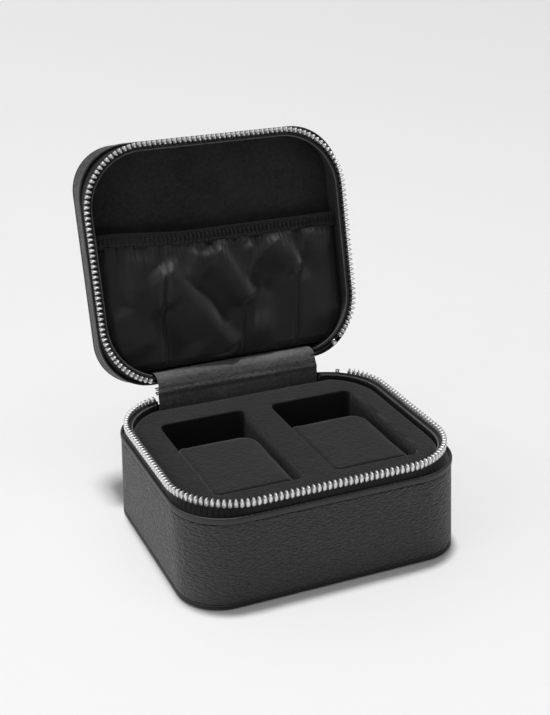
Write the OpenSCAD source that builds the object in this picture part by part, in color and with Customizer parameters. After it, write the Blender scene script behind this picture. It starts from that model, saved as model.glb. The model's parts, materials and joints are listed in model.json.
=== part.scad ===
// Watch travel case: a zip-around box with a hinged lid, an insert for two watches and a gathered pocket.
// Origin at the centre of the underside, +X to the right, +Y towards the hinge, +Z up. It is drawn wide open.

/* [Case] */
// Width over the edge bindings
case_w = 150; // [125:1:180]
// Depth over the edge bindings, from front to hinge
case_d = 130; // [108:1:156]
// Corner radius of the leather walls at the bindings
corner_r = 28; // [23:0.5:33]
// Corner radius at the bottom of the base, where the walls are squarer
foot_corner_r = 15; // [12:0.5:20]
// Corner radius at the top of the lid
lid_corner_r = 21; // [17:0.5:23]
// Height of the base, up to the edge of its binding
base_h = 49.6; // [41:0.1:59]
// Height of the lid, from the edge of its binding to its top
lid_h = 14.9; // [12.4:0.1:18]
// Angle to which the lid falls open
open_angle = 104.4; // [90:0.1:110]

/* [Walls] */
// Thickness of the leather
leather_t = 1.2; // [1:0.1:1.5]
// How far the bindings stand proud of the walls
binding_proud = 0.4; // [0.3:0.05:0.6]
// Height of the edge bindings
binding_h = 3.4; // [2.8:0.1:4.2]
// Thickness of the stiff board in the walls
board_t = 2; // [1.6:0.1:2.4]
// Thickness of the bottom and top panels
panel_t = 2; // [1.6:0.1:2.4]
// Radius of the piping beside the bottom and top panels
piping_r = 0.6; // [0.5:0.05:0.75]
// Thickness of the suede lining
lining_t = 0.8; // [0.6:0.1:1]

/* [Zip] */
// Length of chain that each tooth takes up
tooth_pitch = 2.78; // [2.3:0.01:3.4]
// Height of a tooth, from its feet to its tip
tooth_h = 4.6; // [3.9:0.1:5.5]
// Size of a tooth across the tape
tooth_across = 2.6; // [2.4:0.1:2.8]
// How far the teeth of the two chains reach between each other
zip_mesh = 0.9; // [0.6:0.1:1]
// Thickness of the woven tape
tape_t = 0.8; // [0.6:0.05:0.9]
// Tape that shows between the binding and the feet of the teeth
tape_show = 3.3; // [2.7:0.1:3.9]
// Corner radius of the zip line, wider than the walls' because the tape leans in at the corners
zip_corner_r = 35.5; // [33.5:0.5:37]
// Gap between the flap and the chains' end at the left of the hinge
chain_gap_left = 1; // [0.8:0.1:1.2]
// Gap between the flap and the chains' end at the right of the hinge
chain_gap_right = 13; // [11:0.5:15.5]

/* [Hinge] */
// Distance from the side of the case to the suede flap inside the hinge
flap_inset = 28; // [24:0.5:33]

/* [Insert] */
// Height of the insert's top above the binding
insert_rise = 3.2; // [2.6:0.1:3.8]
// Roundness of the insert's upper edge
insert_round = 4.5; // [3.6:0.1:5.4]
// Width of each watch well
well_w = 47; // [40:1:56]
// Length of each watch well
well_l = 83; // [70:1:92]
// Corner radius of the wells
well_r = 4; // [3:0.5:5]
// Width of the rib between the wells
rib_w = 15.8; // [13:0.2:19]
// How far the wells lie forward of the insert's middle
well_forward = 3; // [0:0.5:4]
// Room beside a cushion in its well
side_room = 4.2; // [3.5:0.1:5]
// Room behind a cushion in its well, for the clasp of a strap
back_room = 26.2; // [22:0.2:31.4]
// Roundness of the cushions
cushion_round = 6; // [5:0.5:7]

/* [Pocket] */
// Distance of the pocket's mouth from the front wall of the lid
pocket_drop = 48; // [40:1:57]
// Height of the elastic band at the mouth
elastic_h = 6.5; // [5.5:0.5:8]
// Room between the pocket and the lid's lining
pocket_room = 6.8; // [5.7:0.1:7]
// Thickness of the gathered cloth
pocket_t = 1.2; // [1:0.1:1.4]

/* [Pull] */
// Distance between the two pivots of the pull's link
link_l = 7; // [6:0.5:8]
// Length of the zip pull
pull_l = 20; // [17:1:24]
// Width of the zip pull
pull_w = 7; // [6:0.5:8]
// Thickness of the zip pull
pull_t = 1.4; // [1.2:0.1:1.6]

/* [Hidden] */
$fn = 64;

// Clearances: between soft parts, between layers that lie on each other, and round a pivot
soft_gap = 0.3;
layer_gap = 0.1;
pin_gap = 0.3;
// How far parts of one piece reach into each other, and a cutter beyond what it cuts
join = 0.1;
through = 1;
// Thickness of the slices that a rounded or leaning shape is stretched between
slice = 0.01;
// Bevel of the outer edges of the panels
bevel_in = 1;
bevel_h = 0.8;
// Half sizes of the case
half_w = case_w / 2;
half_d = case_d / 2;
// Insets of the layers from the outline: leather, board, lining
board_in = leather_t;
board_out = board_in + board_t;
liner_in = board_out + lining_t;
// The tape stands on the board, against the inside of the binding
tape_in = leather_t;
tape_out = tape_in + tape_t;
tape_mid = (tape_in + tape_out) / 2;
tape_seat = 4.5;
// Levels of the base
piping_z = panel_t + piping_r;
wall_z = panel_t + 2 * piping_r;
floor_z = panel_t + board_t;
board_top = base_h - tape_seat;
tooth_foot = base_h + tape_show;
tooth_tip = tooth_foot + tooth_h;
tape_top = tooth_foot + 1.6;
lean_from = base_h - 3.5;
lining_top = tooth_foot - 0.2;
lip_drop = 3.7;
lip_r = 0.7;
lip_in = tape_mid + tooth_across / 2 + layer_gap + lip_r;
lip_z = tooth_tip - lip_drop;
// Levels of the closed lid, mirrored from the base's: lid_flip minus a base level gives the lid's level
lid_flip = 2 * tooth_tip - zip_mesh;
lid_edge_z = lid_flip - base_h;
lid_top_z = lid_edge_z + lid_h;
lid_board_z = lid_top_z - panel_t - board_t;
lid_lining_z = lid_board_z - lining_t;
// The flap covers the hinge between the corners, and the chains end beside it
flap_w = case_w - 2 * flap_inset;
chain_end_left = flap_w / 2 + chain_gap_left;
chain_end_right = flap_w / 2 + chain_gap_right;
// Behind the flap the tapes, the wall linings and their lips leave off, so that the hinge can fold
tape_stop = flap_w / 2 - 3;
lip_stop_w = flap_w + 4;
lip_stop_z = base_h - 0.8;
lip_stop_depth = 12;
// Depth of a cutter across the back of the case, enough for the tape and its seat
back_cut = 10;
// The lid turns about the fold of the spine
axis_y = half_d - 0.15;
axis_z = lid_edge_z - 1.4;
fold_r = 1;
// Zip line
line_w = half_w - tape_mid;
line_d = half_d - tape_mid;
line_r = zip_corner_r - tape_mid;
tooth_neck = 2.2;
tooth_body_t = 0.62 * tooth_pitch;
tooth_head_t = 0.36 * tooth_pitch;
tooth_join = 0.2;
tape_hold = tape_top - tooth_foot + layer_gap;
top_stop_l = 2.4;
top_stop_h = 3.2;
// Insert
insert_gap = 0.6;
insert_in = lip_in + lip_r + insert_gap - 0.4;
insert_z0 = floor_z + lining_t;
insert_top = base_h + insert_rise;
flap_in = liner_in + soft_gap;
flap_out = flap_in + lining_t;
insert_back = half_d - flap_out - 2.6;
insert_front = -(half_d - insert_in);
well_y = (insert_front + insert_back) / 2 - well_forward;
well_x = (rib_w + well_w) / 2;
cushion_gap = 0.8;
cushion_w = well_w - cushion_gap - side_room;
cushion_l = well_l - cushion_gap - back_room;
cushion_top = insert_top - 0.4;
cushion_foot_in = 1;
cushion_foot_h = 3;
// Slider, on the joined end of the chains behind the flap
slider_l = 6.4;
slider_h = 8;
slider_plate = 1;
slider_round = 1.5;
post_r = 0.7;
post_x = -slider_l / 2 + 1.5;
post_z = slider_h / 2 - 0.95;
stop_l = 1.4;
stop_h = 5;
stop_drop = 1.4;
tail_edge = -(chain_end_left - 3.3);
slider_x = tail_edge + 2.3 + slider_l / 2;
stop_x = slider_x + slider_l / 2 + soft_gap;
slider_z = tooth_tip + 0.4;
slider_y = half_d - tape_mid;
slider_channel = tape_t + 1.6;
bridge_r = 0.8;
eye_wall = 0.8;
eye_r = bridge_r + pin_gap + eye_wall;
bridge_y = slider_y + slider_channel / 2 + slider_plate + soft_gap + eye_r;
arm_w = 1.1;
// Shoulder of the link between its eye and its two arms, and the tab's neck below its own eye
neck_h = 0.9;
shoulder_h = 1.2;
neck_root = 2;
tab_neck = 1.6;
// The joined tapes: a tail behind the flap that holds the last teeth, the slider and the stop
tail_top = slider_z + 6.2;
tail_step = slider_z + 2.2;
tail_room = 2.7;
tail_root = tooth_foot - 1;
tail_edge_w = tape_top - tooth_foot;
end_foot = tail_edge + tail_edge_w;
end_teeth = 2;
end_pitch = tooth_body_t + 0.9;
end_from = tooth_tip + 0.2 + tooth_body_t / 2;
// The leather spine fills the hinge between the stop and its mirrored place
spine_w = -2 * (stop_x + stop_l + soft_gap);
spine_top = axis_z - 3;
fold_run = 0.4;
fold_drop = 0.5;
fold_in = 0.3;
// Flap: how deep its lower edge tucks in, and the shoulders where it widens
tuck_h = 16;
shoulder_h0 = 0.6;
shoulder_out = 2;
flap_drop = 1.2;
// Pocket
pocket_gap = 0.4;
band_proud = 0.3;
pocket_in = liner_in + pocket_gap;
mouth_y = -half_d + pocket_drop;
pocket_z = lid_lining_z - pocket_room;

// Rounded rectangle: the outline of the case moved in, with the radius of the walls or of the zip line
module outline(inset, r = corner_r) {
    hw = half_w - inset;
    hd = half_d - inset;
    rr = r - inset;
    square([2 * hw, 2 * (hd - rr)], center = true);
    square([2 * (hw - rr), 2 * hd], center = true);
    for (sx = [-1, 1], sy = [-1, 1])
        translate([sx * (hw - rr), sy * (hd - rr)])
            circle(r = rr);
}

// Upright wall between two insets and two levels
module wall(from_in, to_in, z0, z1, r = corner_r) {
    translate([0, 0, z0])
        linear_extrude(z1 - z0)
            difference() {
                outline(from_in, r);
                outline(to_in, r);
            }
}

// Flat panel inside one inset
module panel(inset, z0, z1, r = corner_r) {
    translate([0, 0, z0])
        linear_extrude(z1 - z0)
            outline(inset, r);
}

// Round cord laid along an outline
module cord_loop(inset, z, cord_r, r = corner_r) {
    hw = half_w - inset;
    hd = half_d - inset;
    rr = r - inset;
    translate([0, 0, z]) {
        for (sy = [-1, 1])
            translate([0, sy * hd, 0])
                rotate([0, 90, 0])
                    cylinder(h = 2 * (hw - rr), r = cord_r, center = true, $fn = 24);
        for (sx = [-1, 1])
            translate([sx * hw, 0, 0])
                rotate([90, 0, 0])
                    cylinder(h = 2 * (hd - rr), r = cord_r, center = true, $fn = 24);
        for (k = [0:3])
            translate([(k == 0 || k == 3 ? 1 : -1) * (hw - rr), (k < 2 ? 1 : -1) * (hd - rr), 0])
                rotate([0, 0, 90 * k])
                    rotate_extrude(angle = 90)
                        translate([rr, 0])
                            circle(r = cord_r, $fn = 24);
    }
}

// Point and outward direction on the zip line, a way s from the middle of the back towards the left
function arc_at(cx, cy, turn) = [cx + line_r * cos(turn), cy + line_r * sin(turn), turn];
function line_at(s) =
    let (a = line_w - line_r, b = line_d - line_r, q = PI * line_r / 2, w = 90 / q)
    s < a ? [-s, line_d, 90]
    : s < a + q ? arc_at(-a, b, 90 + (s - a) * w)
    : s < a + q + 2 * b ? [-line_w, b - (s - a - q), 180]
    : s < a + 2 * q + 2 * b ? arc_at(-a, -b, 180 + (s - a - q - 2 * b) * w)
    : s < 3 * a + 2 * q + 2 * b ? [-a + (s - a - 2 * q - 2 * b), -line_d, 270]
    : s < 3 * a + 3 * q + 2 * b ? arc_at(a, -b, 270 + (s - 3 * a - 2 * q - 2 * b) * w)
    : s < 3 * a + 3 * q + 4 * b ? [line_w, -b + (s - 3 * a - 3 * q - 2 * b), 0]
    : s < 3 * a + 4 * q + 4 * b ? arc_at(a, b, (s - 3 * a - 3 * q - 4 * b) * w)
    : [a - (s - 3 * a - 4 * q - 4 * b), line_d, 90];
line_len = 4 * (line_w - line_r) + 4 * (line_d - line_r) + 2 * PI * line_r;
// Way along the zip line from the middle of the back to a distance x beside it, on the straight or in the corner
function way_to(x) =
    let (a = line_w - line_r)
    x < a ? x : a + line_r * asin((x - a) / line_r) * PI / 180;
chain_from = way_to(chain_end_left);
chain_to = line_len - way_to(chain_end_right);
tooth_count = floor((chain_to - chain_from) / tooth_pitch) - 1;

// One tooth with its feet at z = 0, x outwards across the tape, y along the chain
module tooth() {
    foot_r = tooth_body_t / 2;
    tip_r = tooth_head_t / 2;
    difference() {
        union() {
            translate([0, 0, foot_r])
                rotate([0, 90, 0])
                    cylinder(h = tooth_across, r = foot_r, center = true, $fn = 16);
            translate([-tooth_across / 2, -foot_r, foot_r])
                cube([tooth_across, tooth_body_t, tooth_h - tooth_neck - foot_r]);
            translate([-tooth_across / 2, -tip_r, tooth_h - tooth_neck - tooth_join])
                cube([tooth_across, tooth_head_t, tooth_neck + tooth_join - tip_r]);
            translate([0, 0, tooth_h - tip_r])
                rotate([0, 90, 0])
                    cylinder(h = tooth_across, r = tip_r, center = true, $fn = 16);
        }
        translate([-tape_t / 2 - layer_gap, -tooth_pitch, -through])
            cube([tape_t + 2 * layer_gap, 2 * tooth_pitch, tape_hold + through]);
    }
}

// Teeth along the zip line, feet at z = 0. The lid's chain is shifted by half a pitch, to mesh with the base's
module chain(shift) {
    for (i = [0:tooth_count - 1]) {
        p = line_at(chain_from + (i + 0.5 + shift) * tooth_pitch);
        translate([p[0], p[1], 0])
            rotate([0, 0, p[2]])
                tooth();
    }
}

// Small clamp that ends a chain at the right of the hinge
module top_stop() {
    p = line_at(chain_from + (tooth_count + 2) * tooth_pitch);
    translate([p[0], p[1], tooth_foot])
        rotate([0, 0, p[2]])
            difference() {
                translate([-tooth_across / 2, -top_stop_l / 2, 0])
                    cube([tooth_across, top_stop_l, top_stop_h]);
                translate([-tape_t / 2 - layer_gap, -top_stop_l, -through])
                    cube([tape_t + 2 * layer_gap, 2 * top_stop_l, tape_hold + through]);
            }
}

// Box across the back of the case, centred on x
module back_box(w, depth, z0, z1) {
    translate([-w / 2, half_d - depth, z0])
        cube([w, depth + 5, z1 - z0]);
}

// Solid between two outlines at two levels, for the tape that leans in at the corners
module lean(inset, z0, r0, z1, r1) {
    hull() {
        translate([0, 0, z0])
            linear_extrude(slice)
                outline(inset, r0, $fn = 48);
        translate([0, 0, z1 - slice])
            linear_extrude(slice)
                outline(inset, r1, $fn = 48);
    }
}

// Tape from its seat on the board to the feet of the teeth: upright, leaning in at the corners, upright again
module tape_shell() {
    levels = [board_top, lean_from, tooth_foot, tape_top];
    radii = [corner_r, corner_r, zip_corner_r, zip_corner_r];
    for (i = [0:2])
        difference() {
            lean(tape_in + layer_gap / 2, levels[i], radii[i], levels[i + 1], radii[i + 1]);
            lean(tape_out, levels[i] - 2 * slice, radii[i], levels[i + 1] + 2 * slice, radii[i + 1]);
        }
}

// Lining of a wall: thin below, thicker where it backs the tape, with a rolled lip beside the teeth
module lining(z0) {
    wall(board_out + layer_gap, liner_in, z0, board_top);
    wall(tape_out + layer_gap, liner_in, board_top, lining_top, zip_corner_r);
    wall(lip_in - lip_r, liner_in, lining_top, lip_z, zip_corner_r);
    cord_loop(lip_in, lip_z, lip_r, zip_corner_r);
}

// Corner radius of a wall at a level, between its squarer end and its binding
function base_r(z) =
    foot_corner_r + (corner_r - foot_corner_r) * (z - wall_z) / (base_h - binding_h - wall_z);
function lid_r(z) =
    corner_r + (lid_corner_r - corner_r) * (z - lid_edge_z - binding_h) / (lid_h - binding_h - wall_z);

// Moves lid parts from their closed place to the open lid
module opened() {
    translate([0, axis_y, axis_z])
        rotate([-open_angle, 0, 0])
            translate([0, -axis_y, -axis_z])
                children();
}

// Turns a rim that is drawn on the base over, to the closed lid
module flipped() {
    translate([0, 0, lid_flip])
        mirror([0, 0, 1])
            children();
}

// ---- Base ----

module base_bottom_panel() {
    color("#1b1b1c")
        hull() {
            panel(binding_proud + bevel_in, 0, join, foot_corner_r);
            panel(binding_proud, bevel_h, panel_t, foot_corner_r);
        }
}

module base_piping() {
    color("#0e0e0f")
        difference() {
            cord_loop(binding_proud + piping_r, piping_z, piping_r, foot_corner_r);
            panel(board_in, panel_t - through, wall_z + through, foot_corner_r);
        }
}

module base_board() {
    color("#6d675d") {
        panel(board_in, panel_t, floor_z, base_r(floor_z));
        difference() {
            lean(board_in + layer_gap / 2, floor_z - join, base_r(floor_z), board_top, base_r(board_top));
            panel(board_out, panel_t, board_top + through);
        }
    }
}

module base_leather_wall() {
    top = base_h - binding_h;
    color("#3b3b3d")
        difference() {
            lean(binding_proud, wall_z, foot_corner_r, top, corner_r);
            lean(board_in, wall_z - join, base_r(wall_z - join), top + join, base_r(top + join));
        }
}

module base_binding() {
    color("#353537")
        wall(0, board_in, base_h - binding_h, base_h);
}

module base_zip_tape() {
    color("#151516") {
        difference() {
            tape_shell();
            translate([stop_x + stop_l + layer_gap, half_d - back_cut, board_top - through])
                cube([tape_stop - stop_x - stop_l, 2 * back_cut, tape_top]);
            translate([-chain_end_left + 1, half_d - back_cut, tooth_foot + soft_gap])
                cube([chain_end_left, 2 * back_cut, tape_top]);
        }
        translate([tail_edge, slider_y + tape_t / 2, 0])
            rotate([90, 0, 0])
                linear_extrude(tape_t)
                    polygon([
                        [0, tail_root], [stop_x + stop_l - tail_edge, tail_root],
                        [stop_x + stop_l - tail_edge, tail_step], [tail_edge_w, tail_step],
                        [tail_edge_w, tail_top], [0, tail_top]
                    ]);
    }
}

module base_zip_teeth() {
    color("#c9cacc")
        translate([0, 0, tooth_foot])
            chain(0);
}

module base_top_stop() {
    color("#c9cacc")
        top_stop();
}

module base_liner() {
    color("#2f2f31")
        difference() {
            lining(floor_z);
            back_box(lip_stop_w, lip_stop_depth, lip_stop_z, tooth_tip);
        }
}

module base_floor_lining() {
    color("#232324")
        panel(liner_in, floor_z, insert_z0);
}

// Cut of the insert's outline that keeps it clear of the flap
module insert_outline(shrink) {
    intersection() {
        outline(insert_in + shrink, zip_corner_r);
        translate([-case_w, -case_d])
            square([2 * case_w, case_d + insert_back - shrink]);
    }
}

module well(sx) {
    translate([sx * well_x, well_y, insert_z0 - through])
        linear_extrude(insert_top) {
            square([well_w, well_l - 2 * well_r], center = true);
            square([well_w - 2 * well_r, well_l], center = true);
            for (cx = [-1, 1], cy = [-1, 1])
                translate([cx * (well_w / 2 - well_r), cy * (well_l / 2 - well_r)])
                    circle(r = well_r);
        }
}

module watch_insert() {
    drop = insert_round * (1 - cos(45));
    color("#333335")
        difference() {
            hull() {
                translate([0, 0, insert_z0])
                    linear_extrude(insert_top - insert_round - insert_z0)
                        insert_outline(0);
                translate([0, 0, insert_top - drop - slice])
                    linear_extrude(slice)
                        insert_outline(drop, $fn = 48);
                translate([0, 0, insert_top - slice])
                    linear_extrude(slice)
                        insert_outline(insert_round, $fn = 48);
            }
            well(-1);
            well(1);
        }
}

// Cushion that a watch is strapped round: it stands against the front and left of its well
module watch_cushion(sx) {
    x0 = sx * well_x - well_w / 2 + cushion_gap;
    y0 = well_y - well_l / 2 + cushion_gap;
    color("#353537")
        hull()
            for (cx = [cushion_round, cushion_w - cushion_round],
                 cy = [cushion_round, cushion_l - cushion_round])
                translate([x0 + cx, y0 + cy, 0]) {
                    translate([0, 0, insert_z0 + soft_gap])
                        cylinder(h = cushion_foot_in, r = cushion_round - cushion_foot_in, $fn = 32);
                    translate([0, 0, insert_z0 + soft_gap + cushion_foot_h])
                        cylinder(h = cushion_foot_in, r = cushion_round, $fn = 32);
                    translate([0, 0, cushion_top - cushion_round])
                        sphere(r = cushion_round, $fn = 32);
                }
}

module watch_cushion_left() {
    watch_cushion(-1);
}

module watch_cushion_right() {
    watch_cushion(1);
}

// Leather strip of the hinge, tucked in behind the binding, with its round fold on the axis of the lid
module hinge_spine() {
    strip_y = half_d - tape_out;
    strip_t = tape_t - layer_gap / 2;
    color("#38383a") {
        translate([-spine_w / 2, strip_y, board_top])
            cube([spine_w, strip_t, spine_top - board_top]);
        hull() {
            translate([-spine_w / 2, strip_y, spine_top - fold_run])
                cube([spine_w, strip_t, fold_run]);
            translate([0, axis_y - fold_in, axis_z - fold_drop])
                rotate([0, 90, 0])
                    cylinder(h = spine_w, r = strip_t / 2, center = true, $fn = 16);
        }
        translate([0, axis_y, axis_z])
            rotate([0, 90, 0])
                cylinder(h = spine_w, r = fold_r, center = true);
    }
}

// Suede flap over the hinge, its lower edge narrower where the walls begin to turn
module hinge_flap() {
    tuck_w = 2 * (half_w - zip_corner_r);
    tuck_z = base_h - tuck_h;
    shoulder_z = base_h - shoulder_h0;
    color("#333335")
        translate([0, half_d - flap_in, 0])
            rotate([90, 0, 0])
                linear_extrude(lining_t)
                    polygon([
                        [-tuck_w / 2, tuck_z], [tuck_w / 2, tuck_z],
                        [tuck_w / 2 + shoulder_out, shoulder_z - shoulder_h0], [flap_w / 2, shoulder_z],
                        [flap_w / 2, axis_z - flap_drop], [-flap_w / 2, axis_z - flap_drop],
                        [-flap_w / 2, shoulder_z], [-tuck_w / 2 - shoulder_out, shoulder_z - shoulder_h0]
                    ]);
}

// Last teeth of the lid's chain, one above the other, that lead down into the slider
module zip_end_teeth() {
    color("#c9cacc")
        for (i = [0:end_teeth - 1])
            translate([end_foot, slider_y, end_from + i * end_pitch])
                rotate([0, -90, 0])
                    rotate([0, 0, 90])
                        tooth();
}

module zip_end_stop() {
    color("#b9babc")
        difference() {
            translate([stop_x, slider_y - tooth_across / 2, slider_z - stop_drop])
                cube([stop_l, tooth_across, stop_h]);
            translate([stop_x - through, slider_y - tape_t / 2 - layer_gap, slider_z - stop_drop - through])
                cube([stop_l + 2 * through, tape_t + 2 * layer_gap, tail_room + stop_drop + through]);
        }
}

// Slider: two plates joined by a post, with a bridge on the outer one that holds the pull
module zip_slider() {
    plate_y = slider_channel / 2;
    color("#c3c4c6")
        translate([slider_x, slider_y, slider_z]) {
            for (sy = [-1, 1])
                translate([0, sy * (plate_y + slider_plate / 2), 0])
                    rotate([90, 0, 0])
                        linear_extrude(slider_plate, center = true) {
                            square([slider_l, slider_h - 2 * slider_round], center = true);
                            square([slider_l - 2 * slider_round, slider_h], center = true);
                            for (cx = [-1, 1], cz = [-1, 1])
                                translate([cx * (slider_l / 2 - slider_round),
                                           cz * (slider_h / 2 - slider_round)])
                                    circle(r = slider_round, $fn = 24);
                        }
            translate([post_x, 0, post_z])
                rotate([90, 0, 0])
                    cylinder(h = slider_channel + 2 * join, r = post_r, center = true, $fn = 24);
            translate([0, bridge_y - slider_y, 0])
                rotate([0, 90, 0])
                    cylinder(h = slider_l, r = bridge_r, center = true, $fn = 24);
            for (cx = [-1, 1])
                translate([cx * (slider_l - arm_w) / 2 - arm_w / 2, plate_y + slider_plate - join, -bridge_r])
                    cube([arm_w, bridge_y - slider_y - plate_y - slider_plate + join, 2 * bridge_r]);
        }
}

// Link of the pull: an eye on the slider's bridge and a bar that the tab hangs from
module zip_pull_link() {
    eye_t = slider_l - 2 * arm_w - 2 * pin_gap;
    color("#c3c4c6")
        translate([slider_x, bridge_y, slider_z])
            difference() {
                union() {
                    rotate([0, 90, 0])
                        cylinder(h = eye_t, r = eye_r, center = true, $fn = 32);
                    translate([-eye_t / 2, -pull_t / 2, -eye_r - neck_h])
                        cube([eye_t, pull_t, neck_root]);
                    translate([-pull_w / 2, -pull_t / 2, -eye_r - 2 * neck_h])
                        cube([pull_w, pull_t, shoulder_h]);
                    for (sx = [-1, 1])
                        translate([sx * (pull_w - arm_w) / 2 - arm_w / 2, -pull_t / 2, -link_l - pull_t / 2])
                            cube([arm_w, pull_t, link_l - eye_r]);
                    translate([0, 0, -link_l])
                        rotate([0, 90, 0])
                            cylinder(h = pull_w, r = pull_t / 2, center = true, $fn = 24);
                }
                rotate([0, 90, 0])
                    cylinder(h = eye_t + through, r = bridge_r + pin_gap, center = true, $fn = 32);
            }
}

// Tab that hangs from the link's bar
module zip_pull() {
    tab_eye_r = pull_t / 2 + pin_gap + eye_wall;
    tab_eye_t = pull_w - 2 * arm_w - 2 * pin_gap;
    color("#c3c4c6")
        translate([slider_x, bridge_y, slider_z - link_l])
            difference() {
                union() {
                    rotate([0, 90, 0])
                        cylinder(h = tab_eye_t, r = tab_eye_r, center = true, $fn = 32);
                    translate([-tab_eye_t / 2, -pull_t / 2, -tab_eye_r - tab_neck])
                        cube([tab_eye_t, pull_t, tab_eye_r]);
                    translate([0, pull_t / 2, 0])
                        rotate([90, 0, 0])
                            linear_extrude(pull_t) {
                                translate([-pull_w / 2, -pull_l + pull_w / 2])
                                    square([pull_w, pull_l - pull_w / 2 - tab_eye_r - tab_neck]);
                                translate([0, -pull_l + pull_w / 2])
                                    circle(r = pull_w / 2);
                            }
                }
                rotate([0, 90, 0])
                    cylinder(h = tab_eye_t + through, r = pull_t / 2 + pin_gap, center = true, $fn = 32);
            }
}

// ---- Lid, drawn closed and then opened ----

module lid_board() {
    foot = lid_flip - board_top;
    color("#6d675d")
        opened() {
            panel(board_in, lid_board_z, lid_top_z - panel_t, lid_r(lid_board_z));
            difference() {
                lean(board_in + layer_gap / 2, foot, lid_r(foot), lid_board_z + join, lid_r(lid_board_z));
                panel(board_out, foot - through, lid_top_z - panel_t);
            }
        }
}

module lid_leather_wall() {
    foot = lid_edge_z + binding_h;
    top = lid_top_z - wall_z;
    color("#3b3b3d")
        opened()
            difference() {
                lean(binding_proud, foot, corner_r, top, lid_corner_r);
                lean(board_in, foot - join, lid_r(foot - join), top + join, lid_r(top + join));
            }
}

module lid_binding() {
    color("#353537")
        opened()
            wall(0, board_in, lid_edge_z, lid_edge_z + binding_h);
}

module lid_piping() {
    color("#0e0e0f")
        opened()
            difference() {
                cord_loop(binding_proud + piping_r, lid_top_z - piping_z, piping_r, lid_corner_r);
                panel(board_in, lid_top_z - wall_z - through, lid_top_z, lid_corner_r);
            }
}

module lid_top_panel() {
    color("#3b3b3d")
        opened()
            hull() {
                panel(binding_proud + bevel_in, lid_top_z - join, lid_top_z, lid_corner_r);
                panel(binding_proud, lid_top_z - panel_t, lid_top_z - bevel_h, lid_corner_r);
            }
}

module lid_zip_tape() {
    color("#151516")
        opened()
            difference() {
                flipped()
                    tape_shell();
                translate([-chain_end_left - through, half_d - back_cut, lid_flip - tape_top - through])
                    cube([chain_end_left + through + tape_stop, 2 * back_cut, tape_top]);
            }
}

module lid_zip_teeth() {
    color("#c9cacc")
        opened()
            flipped()
                translate([0, 0, tooth_foot])
                    chain(0.5);
}

module lid_top_stop() {
    color("#c9cacc")
        opened()
            flipped()
                top_stop();
}

module lid_liner() {
    color("#2f2f31")
        opened()
            difference() {
                flipped()
                    lining(lid_flip - lid_lining_z);
                back_box(lip_stop_w, lip_stop_depth, lid_flip - tooth_tip, axis_z + fold_r);
            }
}

module lid_panel_lining() {
    color("#1f1f20")
        opened()
            panel(board_out + layer_gap, lid_lining_z, lid_board_z);
}

// Outline of the pocket: the inside of the lid behind the mouth
module pocket_outline(shrink, mouth) {
    intersection() {
        outline(pocket_in + shrink, zip_corner_r);
        translate([-case_w, mouth])
            square([2 * case_w, case_d]);
    }
}

module pocket_cloth() {
    color("#1c1c1d")
        opened()
            difference() {
                translate([0, 0, pocket_z - pocket_t])
                    linear_extrude(pocket_room + pocket_t)
                        pocket_outline(0, mouth_y + elastic_h);
                translate([0, 0, pocket_z])
                    linear_extrude(pocket_room + through)
                        pocket_outline(pocket_t, mouth_y);
            }
}

module pocket_elastic() {
    color("#29292a")
        opened()
            translate([0, 0, pocket_z - pocket_t - band_proud])
                linear_extrude(pocket_t + 2 * band_proud)
                    intersection() {
                        outline(pocket_in, zip_corner_r);
                        translate([-case_w, mouth_y])
                            square([2 * case_w, elastic_h]);
                    }
}

base_bottom_panel();
base_piping();
base_board();
base_leather_wall();
base_binding();
base_zip_tape();
base_zip_teeth();
base_top_stop();
base_liner();
base_floor_lining();
watch_insert();
watch_cushion_left();
watch_cushion_right();
hinge_spine();
hinge_flap();
zip_end_teeth();
zip_end_stop();
zip_slider();
zip_pull_link();
zip_pull();
lid_board();
lid_leather_wall();
lid_binding();
lid_piping();
lid_top_panel();
lid_zip_tape();
lid_zip_teeth();
lid_top_stop();
lid_liner();
lid_panel_lining();
pocket_cloth();
pocket_elastic();
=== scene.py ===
"""Looks of a zip-around watch travel case: leather, zip, suede, cushions, hinge flap and gathered pocket."""

import json
import math

import bmesh
import bpy
import numpy as np
from bpy.props import FloatProperty, FloatVectorProperty, IntProperty, PointerProperty
from mathutils import Matrix, Vector, geometry, noise


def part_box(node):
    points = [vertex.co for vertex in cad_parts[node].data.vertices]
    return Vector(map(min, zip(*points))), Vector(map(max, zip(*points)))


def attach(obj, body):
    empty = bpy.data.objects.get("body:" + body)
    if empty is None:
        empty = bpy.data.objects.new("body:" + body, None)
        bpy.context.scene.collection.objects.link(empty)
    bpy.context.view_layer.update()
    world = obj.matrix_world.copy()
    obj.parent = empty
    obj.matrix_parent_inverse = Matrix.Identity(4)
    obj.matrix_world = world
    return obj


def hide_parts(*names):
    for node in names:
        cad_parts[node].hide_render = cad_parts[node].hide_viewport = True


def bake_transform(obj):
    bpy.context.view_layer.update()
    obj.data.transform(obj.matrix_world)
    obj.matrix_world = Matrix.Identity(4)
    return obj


bl_info = {
    "name": "Watch Travel Case",
    "version": (1, 0, 0),
    "blender": (4, 5, 0),
    "location": "3D View > Sidebar > Travel Case",
    "description": "Builds the leather, zip, suede, cushions and pocket of a watch travel case",
    "category": "Object",
}

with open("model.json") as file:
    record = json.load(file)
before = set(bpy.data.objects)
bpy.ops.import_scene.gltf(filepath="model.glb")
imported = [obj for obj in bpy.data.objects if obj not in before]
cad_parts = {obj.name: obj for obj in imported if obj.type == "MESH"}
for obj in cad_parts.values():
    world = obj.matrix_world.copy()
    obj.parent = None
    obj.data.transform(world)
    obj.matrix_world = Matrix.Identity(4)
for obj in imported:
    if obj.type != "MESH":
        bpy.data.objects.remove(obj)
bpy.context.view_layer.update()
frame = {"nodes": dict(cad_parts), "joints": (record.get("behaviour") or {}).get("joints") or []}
MM = 0.001


# ---- The frame's places and levels ----


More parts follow.
